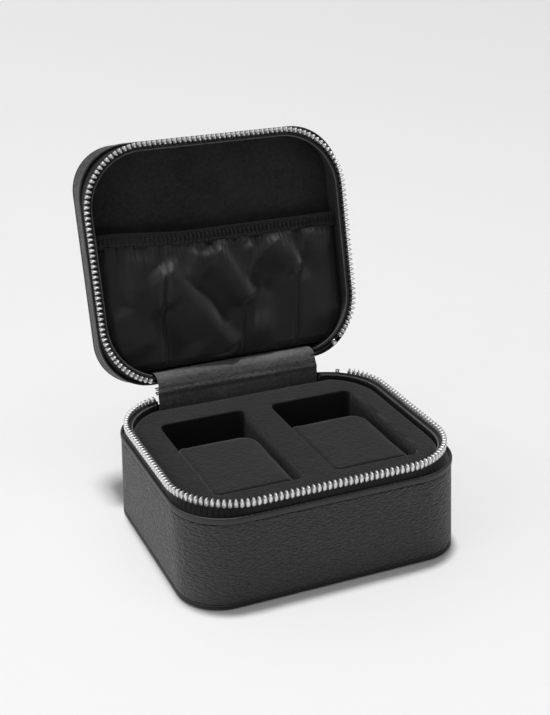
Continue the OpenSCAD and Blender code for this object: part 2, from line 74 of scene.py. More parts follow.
def lid_joint():
    """The hinge's axis point, and the matrix that carries closed-lid places to the open lid."""
    joint = next(j for j in frame["joints"] if j["name"] == "lid_hinge")
    at = Vector(joint["pos_m"])
    turn = Matrix.Rotation(-math.radians(joint["range_deg"][0]), 4, Vector(joint["axis"]))
    return at, Matrix.Translation(at) @ turn @ Matrix.Translation(-at)


AXIS, OPENED = lid_joint()
CLOSED = OPENED.inverted()


def closed_box(node):
    """Lowest and highest corner of a lid node with the lid shut."""
    points = np.array([CLOSED @ v.co for v in frame["nodes"][node].data.vertices])
    return Vector(points.min(0)), Vector(points.max(0))


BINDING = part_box("base_binding")
HALF_W, HALF_D = BINDING[1].x, BINDING[1].y
BASE_TOP = BINDING[1].z
BINDING_FOOT = BINDING[0].z
WALL_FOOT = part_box("base_leather_wall")[0].z
TOOTH_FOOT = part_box("base_top_stop")[0].z
LIP_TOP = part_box("base_liner")[1].z
BOARD_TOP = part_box("base_board")[1].z
FLOOR_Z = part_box("base_floor_lining")[0].z
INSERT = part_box("watch_insert")
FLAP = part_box("hinge_flap")
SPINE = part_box("hinge_spine")
LID_EDGE = closed_box("lid_binding")[0].z
LID_FLIP = BASE_TOP + LID_EDGE
LID_WALL_TOP = closed_box("lid_leather_wall")[1].z
LID_TOP = closed_box("lid_top_panel")[1].z
LINING = closed_box("lid_panel_lining")
LID_PIPING = closed_box("lid_piping")
POCKET = closed_box("pocket_cloth")
ELASTIC = closed_box("pocket_elastic")
# Level at which the zip's tape and the lining behind it begin to lean in, towards the zip's corner radius
TAPE_LEAN = BASE_TOP - 3.5 * MM
# How far in the leather walls' faces lie
WALL_FACE = 0.4 * MM
# What carries the shut lid's pieces to where the frame has them
PLACES = {"base": None, "lid": OPENED}


def facing(level, body):
    """The level on the base, or the one that lies opposite it in the shut lid."""
    return LID_FLIP - level if body == "lid" else level


# ---- Sizes and colours that a user may change ----


def length(name, description, millimetres):
    return FloatProperty(
        name=name, description=description, default=millimetres * MM, min=0, subtype="DISTANCE", unit="LENGTH"
    )


def colour(name, description, value):
    return FloatVectorProperty(
        name=name, description=description, default=value, min=0, max=1, size=3, subtype="COLOR"
    )


class CaseSizes(bpy.types.PropertyGroup):
    """Sizes of the case's soft and sewn pieces."""

    corner_radius: length("Wall corner radius", "Corner radius of the leather walls at the bindings", 28)
    foot_radius: length("Foot corner radius", "Corner radius at the bottom of the base", 23)
    top_radius: length("Top corner radius", "Corner radius at the top of the lid", 24.5)
    zip_radius: length("Zip corner radius", "Corner radius of the zip line, where the tape leans in", 35.5)
    leather: length("Leather thickness", "Thickness of the leather", 1.2)
    tape: length("Tape thickness", "Thickness of the zip's woven tape", 0.8)
    tooth_pitch: length("Tooth pitch", "Chain length that each tooth takes up", 2.78)
    stitch_pitch: length("Stitch pitch", "Distance between stitches under the binding", 3.0)
    grain: length("Grain size", "Size of the leather's pebbles", 1.15)
    fold_depth: length("Fold depth", "How far the pocket's deepest fold stands out", 6.6)
    ruffle_pitch: length("Ruffle pitch", "Distance between the elastic's ruffles", 2.4)
    insert_edge: length("Insert edge", "Roundness of the insert's upper edge", 4.5)
    well_edge: length("Well edge", "Roundness of the wells' upper edges", 0.7)
    well_radius: length("Well corner radius", "Corner radius of the wells", 4)
    cushion_swell: length("Cushion swell", "How far a stuffed cushion's cover may move", 0.4)
    cushion_corner: length("Cushion corner", "Radius of a cushion's back right corner", 10)
    cushion_snug: length("Cushion's snug fit", "How far a cover stands out to the wall of its well", 0.55)
    cushion_tight: length("Cushion's tight edge", "Roundness of a cushion beside the well's wall", 1.0)
    cushion_loose: length("Cushion's loose edge", "Roundness of a cushion's back and right edges", 5)
    seed: IntProperty(name="Seed", description="Seed of the small unevenness", default=7, min=0)


class CaseColours(bpy.types.PropertyGroup):
    """Colours of the case's finishes."""

    leather: colour("Leather", "Pebbled leather of the walls and panels", (0.0275, 0.0275, 0.0283))
    binding: colour("Binding", "Folded leather at the edges", (0.020, 0.020, 0.021))
    # Painted shade: the bottom panel's leather is made darker and browner than the walls' to stand in for the
    # dark, brownish shadow along the case's foot
    foot: colour("Foot", "Darker leather of the bottom panel and the cord beside it", (0.009, 0.008, 0.0075))
    suede: colour("Suede", "Microsuede of the insert and the base's lining", (0.0068, 0.0068, 0.007))
    # Painted light: the flap is the same microsuede, made far paler to stand in for light it hardly gets; the
    # lips' painted highlight uses it too
    flap: colour("Flap", "Microsuede of the flap in the hinge", (0.1, 0.1, 0.102))
    lid_suede: colour("Lid suede", "Darker lining of the lid", (0.026, 0.026, 0.0265))
    cloth: colour("Pocket cloth", "Satin-faced cloth of the pocket", (0.0132, 0.0132, 0.0136))
    tape: colour("Zip tape", "Woven tape of the zip", (0.0045, 0.0045, 0.0048))
    metal: colour("Teeth", "Plated metal of the zip", (0.86, 0.86, 0.87))
    thread: colour("Thread", "Sewing thread of the leather", (0.012, 0.012, 0.0125))
    band_thread: colour("Band thread", "Sewing thread of the elastic band", (0.05, 0.05, 0.051))
    board: colour("Board", "Pressed fibre board in the walls", (0.22, 0.2, 0.17))
    floor: colour("Floor", "Pale floor of the stage", (0.86, 0.86, 0.86))


def sizes():
    return bpy.context.scene.case_sizes


def colours():
    return bpy.context.scene.case_colours


# ---- Shader graphs ----


class Value:
    """A shader socket that takes part in Python expressions."""

    def __init__(self, graph, socket):
        self.graph = graph
        self.socket = socket

    def maths(self, operation, *others):
        return self.graph.out("ShaderNodeMath", {"operation": operation}, (self, *others))

    def __add__(self, other):
        return self.maths("ADD", other)

    def __sub__(self, other):
        return self.maths("SUBTRACT", other)

    def __rsub__(self, other):
        return self.graph.out("ShaderNodeMath", {"operation": "SUBTRACT"}, (other, self))

    def __mul__(self, other):
        return self.maths("MULTIPLY", other)

    __radd__ = __add__
    __rmul__ = __mul__

    def within(self, low, high):
        """0 below low, 1 above high, smooth between them."""
        return self.graph.out(
            "ShaderNodeMapRange", {"interpolation_type": "SMOOTHSTEP"}, (self, low, high, 0.0, 1.0)
        )


class Finish:
    """A material's node graph around one Principled shader."""

    def __init__(self, name):
        self.material = bpy.data.materials.new(name)
        self.material.use_nodes = True
        self.tree = self.material.node_tree
        self.shader = next(n for n in self.tree.nodes if n.type == "BSDF_PRINCIPLED")

    def feed(self, socket, value):
        """Sets the socket, or links it if the value comes from the graph."""
        if isinstance(value, Value):
            self.tree.links.new(value.socket, socket)
        else:
            socket.default_value = value

    def node(self, kind, settings=None, values=()):
        """A node of that kind, with its settings first and then the values or links of its sockets."""
        made = self.tree.nodes.new(kind)
        for key, value in (settings or {}).items():
            setattr(made, key, value)
        for key, value in values.items() if isinstance(values, dict) else enumerate(values):
            self.feed(made.inputs[key], value)
        return made

    def out(self, kind, settings=None, values=(), output=0):
        return Value(self, self.node(kind, settings, values).outputs[output])

    def place(self, stretch=(1, 1, 1), turn=(0, 0, 0), uv=False):
        """Object coordinates, or the piece's own UV map, stretched and turned."""
        source = self.out("ShaderNodeTexCoord", output="UV" if uv else "Object")
        mapping = {"Vector": source, "Rotation": turn, "Scale": stretch}
        return self.out("ShaderNodeMapping", {"vector_type": "POINT"}, mapping)

    def noise(self, where, per_metre, detail=3.0, roughness=0.55):
        values = {"Vector": where, "Scale": per_metre, "Detail": detail, "Roughness": roughness}
        return self.out("ShaderNodeTexNoise", {}, values)

    def cells(self, where, per_metre, feature="F1", smooth=None):
        values = {"Vector": where, "Scale": per_metre}
        if smooth is not None:
            values["Smoothness"] = smooth
        return self.out("ShaderNodeTexVoronoi", {"feature": feature}, values, "Distance")

    def warped(self, where, per_metre, amount):
        """Coordinates pushed about by noise, so that a pattern on them isn't regular."""
        push = self.out("ShaderNodeTexNoise", {}, {"Vector": where, "Scale": per_metre}, "Color")
        centred = self.out("ShaderNodeVectorMath", {"operation": "SUBTRACT"}, (push, (0.5, 0.5, 0.5)))
        scaled = self.out("ShaderNodeVectorMath", {"operation": "SCALE"}, {0: centred, "Scale": amount})
        return self.out("ShaderNodeVectorMath", {"operation": "ADD"}, (where, scaled))

    def part(self, where, axis):
        return self.out("ShaderNodeSeparateXYZ", {}, (where,), axis)

    def wave(self, coordinate, pitch):
        """0 to 1 and back over each pitch of a coordinate."""
        return (coordinate * (2 * math.pi / pitch)).maths("SINE") * 0.5 + 0.5

    def tint(self, factor, base, darker, lighter):
        """The base colour from a darker to a lighter share of itself, as the factor goes from 0 to 1."""
        made = self.node("ShaderNodeMix", {"data_type": "RGBA"}, {"Factor": factor})
        for name, share in (("A", darker), ("B", lighter)):
            socket = next(s for s in made.inputs if s.name == name and s.type == "RGBA")
            socket.default_value = (*(c * share for c in base), 1.0)
        return Value(self, next(s for s in made.outputs if s.type == "RGBA"))

    def set(self, **values):
        """Sets or links sockets of the Principled shader, named with underscores for spaces."""
        for key, value in values.items():
            self.feed(self.shader.inputs[key.replace("_", " ")], value)

    def relief(self, height, strength):
        """Bumps from a height in metres."""
        values = {"Strength": strength, "Distance": 1.0, "Height": height}
        self.set(Normal=self.out("ShaderNodeBump", {}, values))


def leather_finish(name, base, coarseness, depth, gloss):
    """Pebbled leather: flat pebbles and shallow wrinkles that run along, fine pores, patchy sheen."""
    f = Finish(name)
    grain = sizes().grain * coarseness
    where = f.place(stretch=(0.5, 0.5, 1.0))
    loose = f.warped(where, 0.4 / grain, 1.3 * grain)
    pebbles = 1 - f.cells(loose, 1 / grain, "SMOOTH_F1", 0.8)
    creases = f.cells(loose, 0.7 / grain, "DISTANCE_TO_EDGE").within(0.0, 0.22)
    wrinkles = (f.noise(f.place(stretch=(0.32, 0.32, 1.0)), 0.9 / grain, 2.0) - 0.5).maths("ABSOLUTE") * 3
    pores = f.noise(where, 3.2 / grain, 2.0)
    patches = f.noise(where, 38.0)
    shade = creases * 0.2 + pebbles * 0.45 + wrinkles * 0.2 + patches * 0.35
    f.set(
        Base_Color=f.tint(shade, base, 0.62, 1.22),
        Roughness=gloss + 0.1 * (1 - creases) + 0.1 * patches,
        Specular_IOR_Level=0.55,
        Sheen_Weight=0.16,
        Sheen_Roughness=0.3,
    )
    f.relief((pebbles * 0.6 + creases * 0.22 + wrinkles * 0.4 + pores * 0.2) * depth, 1.0)
    return f.material


def suede_finish(name, base, sheen, patch=26.0, fibre=1400.0):
    """Brushed microsuede: short fibres, a soft sheen, and patches where the nap lies another way."""
    f = Finish(name)
    where = f.place()
    nap = f.noise(where, fibre, 4.0, 0.65)
    brushed = f.noise(f.warped(where, patch * 2, 0.01), patch, 4.0, 0.6)
    flecks = f.noise(where, fibre * 0.28, 3.0)
    tufts = f.noise(where, fibre * 0.36, 3.0, 0.7).within(0.3, 0.7)
    shade = brushed.within(0.32, 0.7) * 0.35 + nap * 0.2 + flecks * 0.15 + tufts * 0.35
    f.set(
        Base_Color=f.tint(shade, base, 0.45, 1.6),
        Roughness=0.86 + 0.12 * nap,
        Specular_IOR_Level=0.25,
        Sheen_Weight=sheen,
        Sheen_Roughness=0.45,
        Sheen_Tint=(0.8, 0.8, 0.82, 1.0),
    )
    f.relief(nap * 0.00016 + flecks * 0.00012 + tufts * 0.00016 + brushed * 0.0005, 0.9)
    return f.material


def cloth_finish(name, base, thread=0.00042, sheen=0.3, gloss=0.46):
    """Twill-woven cloth on the piece's own UV map, in metres."""
    f = Finish(name)
    uv = f.place(uv=True)
    across = f.part(uv, "X")
    along = f.part(uv, "Y")
    twill = f.wave(across + along, thread * 1.5)
    weft = f.wave(along - across * 0.2, thread)
    slubs = f.noise(f.place(stretch=(1, 6, 1), uv=True), 260.0, 3.0)
    patches = f.noise(f.place(), 45.0, 3.0)
    weave = twill * 0.6 + weft * 0.4
    f.set(
        Base_Color=f.tint(weave * 0.45 + slubs * 0.3 + patches * 0.35, base, 0.65, 1.35),
        Roughness=gloss + 0.15 * weave,
        Specular_IOR_Level=0.4,
        Sheen_Weight=sheen,
        Sheen_Roughness=0.4,
        Sheen_Tint=(0.85, 0.85, 0.88, 1.0),
    )
    f.relief(weave * 0.00007 + slubs * 0.00008 + patches * 0.0002, 0.8)
    return f.material


def tape_finish(name, base, rib=0.0009):
    """Woven zip tape: ribs across it and fine threads along it."""
    f = Finish(name)
    uv = f.place(uv=True)
    ribs = f.wave(f.part(uv, "X"), rib)
    threads = f.wave(f.part(uv, "Y"), rib * 0.6)
    fuzz = f.noise(f.place(), 900.0, 2.0)
    f.set(
        Base_Color=f.tint(ribs * 0.5 + fuzz * 0.5, base, 0.6, 1.6),
        Roughness=0.72 + 0.2 * fuzz,
        Specular_IOR_Level=0.3,
        Sheen_Weight=0.15,
    )
    f.relief(ribs * 0.0001 + threads * 0.00005 + fuzz * 0.00005, 0.8)
    return f.material


def metal_finish(name, base, gloss):
    """Plated metal: faint tarnish, rubbed patches and fine scratches."""
    f = Finish(name)
    where = f.place()
    tarnish = f.noise(where, 240.0, 3.0)
    scratches = f.noise(f.place(stretch=(1, 1, 14)), 900.0, 3.0)
    f.set(
        Base_Color=f.tint(tarnish, base, 0.82, 1.08),
        Metallic=1.0,
        Roughness=gloss + 0.14 * tarnish + 0.06 * scratches,
    )
    f.relief(scratches * 0.00002 + tarnish * 0.00004, 0.6)
    return f.material


def board_finish(name, base):
    """Pressed fibre board: flecks and short fibres."""
    f = Finish(name)
    where = f.place()
    flecks = f.cells(where, 700.0)
    fibres = f.noise(f.place(stretch=(1, 1, 5)), 500.0, 4.0)
    f.set(Base_Color=f.tint(flecks * 0.5 + fibres * 0.6, base, 0.6, 1.3), Roughness=0.8 + 0.15 * fibres)
    f.relief(fibres * 0.0001 + flecks * 0.00006, 0.8)
    return f.material


def thread_finish(name, base):
    """Twisted sewing thread."""
    f = Finish(name)
    twist = f.wave(f.part(f.place(turn=(0.6, 0.4, 0.8)), "X"), 0.0005)
    fuzz = f.noise(f.place(), 2500.0, 2.0)
    f.set(Base_Color=f.tint(twist * 0.6 + fuzz * 0.4, base, 0.6, 1.5), Roughness=0.6 + 0.2 * fuzz)
    f.relief(twist * 0.00006, 0.8)
    return f.material


def floor_finish(name, base):
    """Plain pale floor with a faint gloss."""
    f = Finish(name)
    speckle = f.noise(f.place(), 60.0, 2.0)
    f.set(Base_Color=f.tint(speckle, base, 0.995, 1.005), Roughness=0.34 + 0.04 * speckle)
    return f.material


# Each finish: its maker, the colour it starts from and what else the maker takes
KINDS = {
    "leather": (leather_finish, "leather", 1.0, 0.0013, 0.4),
    "binding": (leather_finish, "binding", 0.7, 0.0001, 0.42),
    "panel": (leather_finish, "leather", 1.0, 0.0006, 0.42),
    # The foot's finish holds painted shade: darker, browner leather for the shadow along the foot
    "foot": (leather_finish, "foot", 1.0, 0.0002, 0.5),
    "suede": (suede_finish, "suede", 0.35),
    "cushion": (suede_finish, "suede", 0.4, 34.0),
    # The flap's finish holds painted light: far paler suede stands in for light the flap hardly gets
    "flap": (suede_finish, "flap", 0.3, 30.0),
    "lid_suede": (suede_finish, "lid_suede", 0.12, 30.0),
    "cloth": (cloth_finish, "cloth"),
    "elastic": (cloth_finish, "cloth", 0.0007, 0.2, 0.66),
    "tape": (tape_finish, "tape"),
    "teeth": (metal_finish, "metal", 0.36),
    "hardware": (metal_finish, "metal", 0.16),
    "thread": (thread_finish, "thread"),
    "band_thread": (thread_finish, "band_thread"),
    "board": (board_finish, "board"),
    "floor": (floor_finish, "floor"),
}
FINISHES = {}


def finish(name):
    """The case's material of that name, made once."""
    if name not in FINISHES:
        maker, shade, *rest = KINDS[name]
        FINISHES[name] = maker(name, tuple(getattr(colours(), shade)), *rest)
    return FINISHES[name]


def dress(mesh, material):
    """The mesh has that finish and no other."""
    mesh.materials.clear()
    mesh.materials.append(finish(material))


# ---- Outlines, sections and meshes ----


# How many points each stretch of the outline gets: half of the back with its corner, the side, the front's
# corner, the front, and the same again in reverse
STRETCHES = (34, 30, 26, 34, 26, 30, 34)


def lump(x, y, z=0.0):
    """Smooth noise, from about -1 to 1."""
    return noise.noise(Vector((x, y, z)))


def smoothstep(low, high, x):
    t = max(0.0, min(1.0, (x - low) / (high - low)))
    return t * t * (3 - 2 * t)


def rim_point(way, inset, corner):
    """Place and outward direction on the rounded outline, a way from the middle of the back."""
    half_w, half_d, radius = HALF_W - inset, HALF_D - inset, corner - inset
    a, b, quarter = half_w - radius, half_d - radius, math.pi * radius / 2
    turns = ((-a, b, 90), (-a, -b, 180), (a, -b, 270), (a, b, 0))
    runs = (a, 2 * b, 2 * a, 2 * b, a)
    starts = ((0, half_d), (-half_w, b), (-a, -half_d), (half_w, -b), (a, half_d))
    headings = ((-1, 0), (0, -1), (1, 0), (0, 1), (-1, 0))
    for k in range(5):
        if way <= runs[k] or k == 4:
            (x, y), (dx, dy) = starts[k], headings[k]
            return Vector((x + dx * way, y + dy * way, 0)), Vector((dy, -dx, 0))
        way -= runs[k]
        if way <= quarter:
            cx, cy, from_deg = turns[k]
            angle = math.radians(from_deg) + way / radius
            out = Vector((math.cos(angle), math.sin(angle), 0))
            return Vector((cx, cy, 0)) + radius * out, out
        way -= quarter


def rim_length(inset, corner):
    return 4 * (HALF_W + HALF_D - 2 * corner) + 2 * math.pi * (corner - inset)


def way_to(x, inset, corner):
    """Way along the outline from the middle of the back to a distance x beside it."""
    a, radius = HALF_W - corner, corner - inset
    if x <= a:
        return x
    return a + radius * math.asin(min(1, (x - a) / radius))


def rim_stations(inset, corner, left=None, right=None):
    """Ways along the outline at which a section has a copy, as many at any inset and corner.

    Left and right are the ends of a gap at the back, as distances from its middle: without them it is whole.
    """
    a, b = HALF_W - corner, HALF_D - corner
    quarter = math.pi * (corner - inset) / 2
    total = rim_length(inset, corner)
    start = 0 if left is None else way_to(left, inset, corner)
    end = total if right is None else total - way_to(right, inset, corner)
    marks = [start, a + quarter, a + quarter + 2 * b, a + 2 * quarter + 2 * b]
    marks += [total - x for x in reversed(marks[1:])] + [end]
    ways = []
    for low, high, count in zip(marks, marks[1:], STRETCHES):
        ways += [low + (high - low) * i / count for i in range(count)]
    return ways + [end]


def rounded(corners, steps=4):
    """A closed section's points: each corner is rounded by its fillet, with a point beside it to hold it."""
    support = 0.35 * MM
    points = []
    for i, (*corner, fillet) in enumerate(corners):
        here = Vector(corner)
        if fillet <= 0:
            points.append(here)
            continue
        back = Vector(corners[i - 1][:3]) - here
        ahead = Vector(corners[(i + 1) % len(corners)][:3]) - here
        reach_b = min(fillet, 0.45 * back.length)
        reach_a = min(fillet, 0.45 * ahead.length)
        first = here + back.normalized() * reach_b
        last = here + ahead.normalized() * reach_a
        if back.length > 4 * support + reach_b:
            points.append(here + back.normalized() * (reach_b + support))
        for k in range(steps + 1):
            t = k / steps
            points.append(first * (1 - t) ** 2 + here * (2 * t * (1 - t)) + last * t * t)
        if ahead.length > 4 * support + reach_a:
            points.append(here + ahead.normalized() * (reach_a + support))
    return points


def ring_between(rings, points, faces):
    """Adds rings of points and the faces between them, and gives where the last and first ring begin."""
    first, count = len(points), len(rings[0])
    for ring in rings:
        points += ring
    for i in range(len(rings) - 1):
        for j in range(count):
            n = (j + 1) % count
            a, b = first + i * count, first + (i + 1) * count
            faces.append((a + j, a + n, b + n, b + j))
    return first + (len(rings) - 1) * count, first


def tube(rings):
    """Points and faces of a skin over rings of points, both ends closed by a flat face."""
    points, faces = [], []
    for start in reversed(ring_between(rings, points, faces)):
        faces.append(tuple(range(start, start + len(rings[0]))))
    return points, faces


def new_piece(name, mesh, material, smooth=True):
    """An object of that mesh at the origin, with its material."""
    made = bpy.data.objects.new(name, mesh)
    bpy.context.scene.collection.objects.link(made)
    if material:
        dress(mesh, material)
    if smooth:
        mesh.shade_smooth()
    return made


def mesh_of(name, points, faces, uvs=None, place=None):
    """A mesh from points and faces, its faces turned outwards, with a UV per corner."""
    mesh = bpy.data.meshes.new(name)
    mesh.from_pydata([tuple(p) for p in points], [], faces)
    if uvs is not None:
        layer = mesh.uv_layers.new(name="Sewn")
        layer.data.foreach_set("uv", np.array(uvs, np.float32).ravel())
    work = bmesh.new()
    work.from_mesh(mesh)
    bmesh.ops.recalc_face_normals(work, faces=work.faces)
    if place is not None:
        bmesh.ops.transform(work, matrix=place, verts=work.verts)
    work.to_mesh(mesh)
    work.free()
    mesh.validate()
    return mesh


def rim_sweep(name, section, material, body, left=None, right=None, ripple=None):
    """A closed section of (inset, level, outline radius) carried round the outline, whole or up to a gap.

    The lid's sections are given as the base's are: here they are turned over and opened with the lid.
    """
    section = [(inset, facing(level, body), radius) for inset, level, radius in section]
    ring = len(section)
    columns = [rim_stations(inset, radius, left, right) for inset, level, radius in section]
    whole = left is None
    count = len(columns[0]) - (1 if whole else 0)
    points, reach = [], [0.0]
    for p, q in zip(section, section[1:] + section[:1]):
        reach.append(reach[-1] + math.hypot(p[0] - q[0], p[1] - q[1]))
    for j in range(count):
        for k, (inset, level, radius) in enumerate(section):
            at, out = rim_point(columns[k][j], inset, radius)
            lift = ripple(columns[k][j], k) if ripple else 0.0
            points.append(at + out * lift + Vector((0, 0, level)))
    faces, uvs = [], []
    for j in range(count if whole else count - 1):
        n = (j + 1) % count
        u0, u1 = columns[0][j], columns[0][j + 1]
        for k in range(ring):
            m = (k + 1) % ring
            faces.append((j * ring + k, n * ring + k, n * ring + m, j * ring + m))
            uvs += [(u0, reach[k]), (u1, reach[k]), (u1, reach[k + 1]), (u0, reach[k + 1])]
    if not whole:
        for start in (0, (count - 1) * ring):
            faces.append(tuple(range(start, start + ring)))
            uvs += [corner[:2] for corner in section]
    return new_piece(name, mesh_of(name, points, faces, uvs, PLACES[body]), material)


def panel_piece(name, rings, material, place=None, unevenness=None):
    """A closed panel from rings of (inset, level, outline radius, scale), its ends closed by flat faces."""
    loops = []
    for inset, level, radius, scale in rings:
        loop = [rim_point(way, inset, radius)[0] * scale for way in rim_stations(inset, radius)[:-1]]
        for at in loop:
            at.z = level + (unevenness(at.x, at.y, level) if unevenness else 0.0)
        loops.append(loop)
    points, faces = tube(loops)
    uvs = [(points[v].x, points[v].y) for face in faces for v in face]
    return new_piece(name, mesh_of(name, points, faces, uvs, place), material)


def grid_sheet(name, across, down, surface, thickness, material, place=None):
    """A closed sheet with its face on surface(u, v) and its back a thickness behind it along its normals."""
    front = np.array([[surface(i / across, j / down) for i in range(across + 1)] for j in range(down + 1)])
    du = np.gradient(front, axis=1)
    dv = np.gradient(front, axis=0)
    normal = np.cross(du, dv)
    normal /= np.linalg.norm(normal, axis=2, keepdims=True) + 1e-12
    back = front - normal * thickness
    width = np.concatenate([[0], np.cumsum(np.linalg.norm(np.diff(front[down // 2], axis=0), axis=1))])
    height = np.concatenate([[0], np.cumsum(np.linalg.norm(np.diff(front[:, across // 2], axis=0), axis=1))])
    stride = across + 1
    size = stride * (down + 1)
    points = [tuple(p) for p in front.reshape(-1, 3)] + [tuple(p) for p in back.reshape(-1, 3)]
    faces, uvs = [], []

    def corner(i, j, side):
        return side * size + j * stride + i

    def add(*corners):
        faces.append(tuple(corner(*c) for c in corners))
        uvs.extend((width[c[0]], height[c[1]]) for c in corners)

    for j in range(down):
        for i in range(across):
            add((i, j, 0), (i + 1, j, 0), (i + 1, j + 1, 0), (i, j + 1, 0))
            add((i, j, 1), (i, j + 1, 1), (i + 1, j + 1, 1), (i + 1, j, 1))
    for i in range(across):
        add((i, 0, 1), (i + 1, 0, 1), (i + 1, 0, 0), (i, 0, 0))
        add((i, down, 0), (i + 1, down, 0), (i + 1, down, 1), (i, down, 1))
    for j in range(down):
        add((0, j, 0), (0, j + 1, 0), (0, j + 1, 1), (0, j, 1))
        add((across, j, 1), (across, j + 1, 1), (across, j + 1, 0), (across, j, 0))
    return new_piece(name, mesh_of(name, points, faces, uvs, place), material)




def baked(piece):
    """The piece with its modifiers applied to a plain mesh."""
    evaluated = piece.evaluated_get(bpy.context.evaluated_depsgraph_get())
    mesh = bpy.data.meshes.new_from_object(evaluated)
    piece.modifiers.clear()
    old = piece.data
    piece.data = mesh
    mesh.name = piece.name
    bpy.data.meshes.remove(old)
    return piece


def polished(name, node, body, width=0.18 * MM):
    """A metal piece on its CAD form: its flat faces merged, its edges rounded by a width."""
    mesh = frame["nodes"][node].data.copy()
    mesh.name = name
    work = bmesh.new()
    work.from_mesh(mesh)
    bmesh.ops.remove_doubles(work, verts=work.verts, dist=1e-6)
    bmesh.ops.dissolve_limit(work, angle_limit=math.radians(1), verts=work.verts, edges=work.edges)
    work.to_mesh(mesh)
    work.free()
    piece = new_piece(name, mesh, "hardware")
    bevel = piece.modifiers.new("edges", "BEVEL")
    bevel.width = width
    bevel.segments = 2
    bevel.limit_method = "ANGLE"
    bevel.angle_limit = math.radians(40)
    baked(piece).data.shade_smooth()
    set_on(piece, body, "hardware", node)


def set_on(piece, body, slot, *nodes):
    """The piece rides on the body and stands for the nodes, which it hides; the slot is not used."""
    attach(piece, body)
    if nodes:
        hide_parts(*nodes)
    return piece


# ---- Geometry nodes: pieces repeated along a line ----


def row_tree():
    """Nodes that set a piece along a line a number of times, a little uneven in size, as one mesh."""
    name = "PiecesAlongLine"
    if name in bpy.data.node_groups:
        return bpy.data.node_groups[name]
    tree = bpy.data.node_groups.new(name, "GeometryNodeTree")
    inputs = {
        "Line": "Geometry", "Count": "Int", "Piece": "Object", "Unevenness": "Float", "Seed": "Int",
        "Finish": "Material",
    }
    for label, kind in inputs.items():
        tree.interface.new_socket(label, in_out="INPUT", socket_type=f"NodeSocket{kind}")
    tree.interface.new_socket("Row", in_out="OUTPUT", socket_type="NodeSocketGeometry")
    kinds = {
        "start": "NodeGroupInput",
        "curve": "GeometryNodeMeshToCurve",
        "spots": "GeometryNodeCurveToPoints",
        "heading": "FunctionNodeAlignRotationToVector",
        "info": "GeometryNodeObjectInfo",
        "low": "ShaderNodeMath",
        "high": "ShaderNodeMath",
        "vary": "FunctionNodeRandomValue",
        "put": "GeometryNodeInstanceOnPoints",
        "real": "GeometryNodeRealizeInstances",
        "dress": "GeometryNodeSetMaterial",
        "end": "NodeGroupOutput",
    }
    nodes = {key: tree.nodes.new(kind) for key, kind in kinds.items()}
    nodes["spots"].mode = "COUNT"
    nodes["heading"].axis = "Y"
    nodes["heading"].pivot_axis = "Z"
    nodes["vary"].data_type = "FLOAT_VECTOR"
    for key, operation in (("low", "SUBTRACT"), ("high", "ADD")):
        nodes[key].operation = operation
        nodes[key].inputs[0].default_value = 1.0
    smallest, largest = [i for i, s in enumerate(nodes["vary"].inputs) if s.type == "VECTOR"][:2]
    links = (
        ("start", "Line", "curve", "Mesh"),
        ("curve", "Curve", "spots", "Curve"),
        ("start", "Count", "spots", "Count"),
        ("spots", "Tangent", "heading", "Vector"),
        ("start", "Piece", "info", "Object"),
        ("start", "Unevenness", "low", 1),
        ("start", "Unevenness", "high", 1),
        ("low", 0, "vary", smallest),
        ("high", 0, "vary", largest),
        ("start", "Seed", "vary", "Seed"),
        ("spots", "Points", "put", "Points"),
        ("info", "Geometry", "put", "Instance"),
        ("heading", "Rotation", "put", "Rotation"),
        ("vary", "Value", "put", "Scale"),
        ("put", "Instances", "real", "Geometry"),
        ("real", "Geometry", "dress", "Geometry"),
        ("start", "Finish", "dress", "Material"),
        ("dress", "Geometry", "end", "Row"),
    )
    for source, result, target, socket in links:
        tree.links.new(nodes[source].outputs[result], nodes[target].inputs[socket])
    return tree


def row_along(name, line, count, piece, material, unevenness, place):
    """Count copies of the piece along the line, as one plain mesh. The piece itself is used up."""
    mesh = bpy.data.meshes.new(name)
    mesh.from_pydata([tuple(p) for p in line], [(i, i + 1) for i in range(len(line) - 1)], [])
    made = new_piece(name, mesh, None, smooth=False)
    modifier = made.modifiers.new("row", "NODES")
    modifier.node_group = row_tree()
    values = {
        "Count": count,
        "Piece": piece,
        "Unevenness": unevenness,
        "Seed": sizes().seed,
        "Finish": finish(material),
    }
    for item in modifier.node_group.interface.items_tree:
        if item.name in values and item.in_out == "INPUT":
            modifier[item.identifier] = values[item.name]
    baked(made)
    if place is not None:
        made.data.transform(place)
    made.data.update()
    pattern = piece.data
    bpy.data.objects.remove(piece)
    bpy.data.meshes.remove(pattern)
    return made


# A zip tooth's side view from its foot up: shares of the body's or the head's half width, and of its height
TOOTH_BODY = ((0.55, 0.0), (1.0, 0.12), (1.0, 0.2), (1.04, 0.3), (1.0, 0.5), (0.95, 0.66))
TOOTH_HEAD = ((1.0, 0.77), (1.0, 0.85), (0.92, 0.93), (0.5, 1.0))
# Its layers: places as shares of half its thickness, and how much of the side view they keep
TOOTH_LAYERS = ((-1, 0.45), (-0.55, 1.0), (0.55, 1.0), (1, 0.45))
# Half a stitch: place along its length, share of its width, and its lift as a share of its rise
STITCH_HALF = ((-0.5, 0.25, -0.9), (-0.42, 0.75, -0.1), (-0.2, 1.0, 0.2))


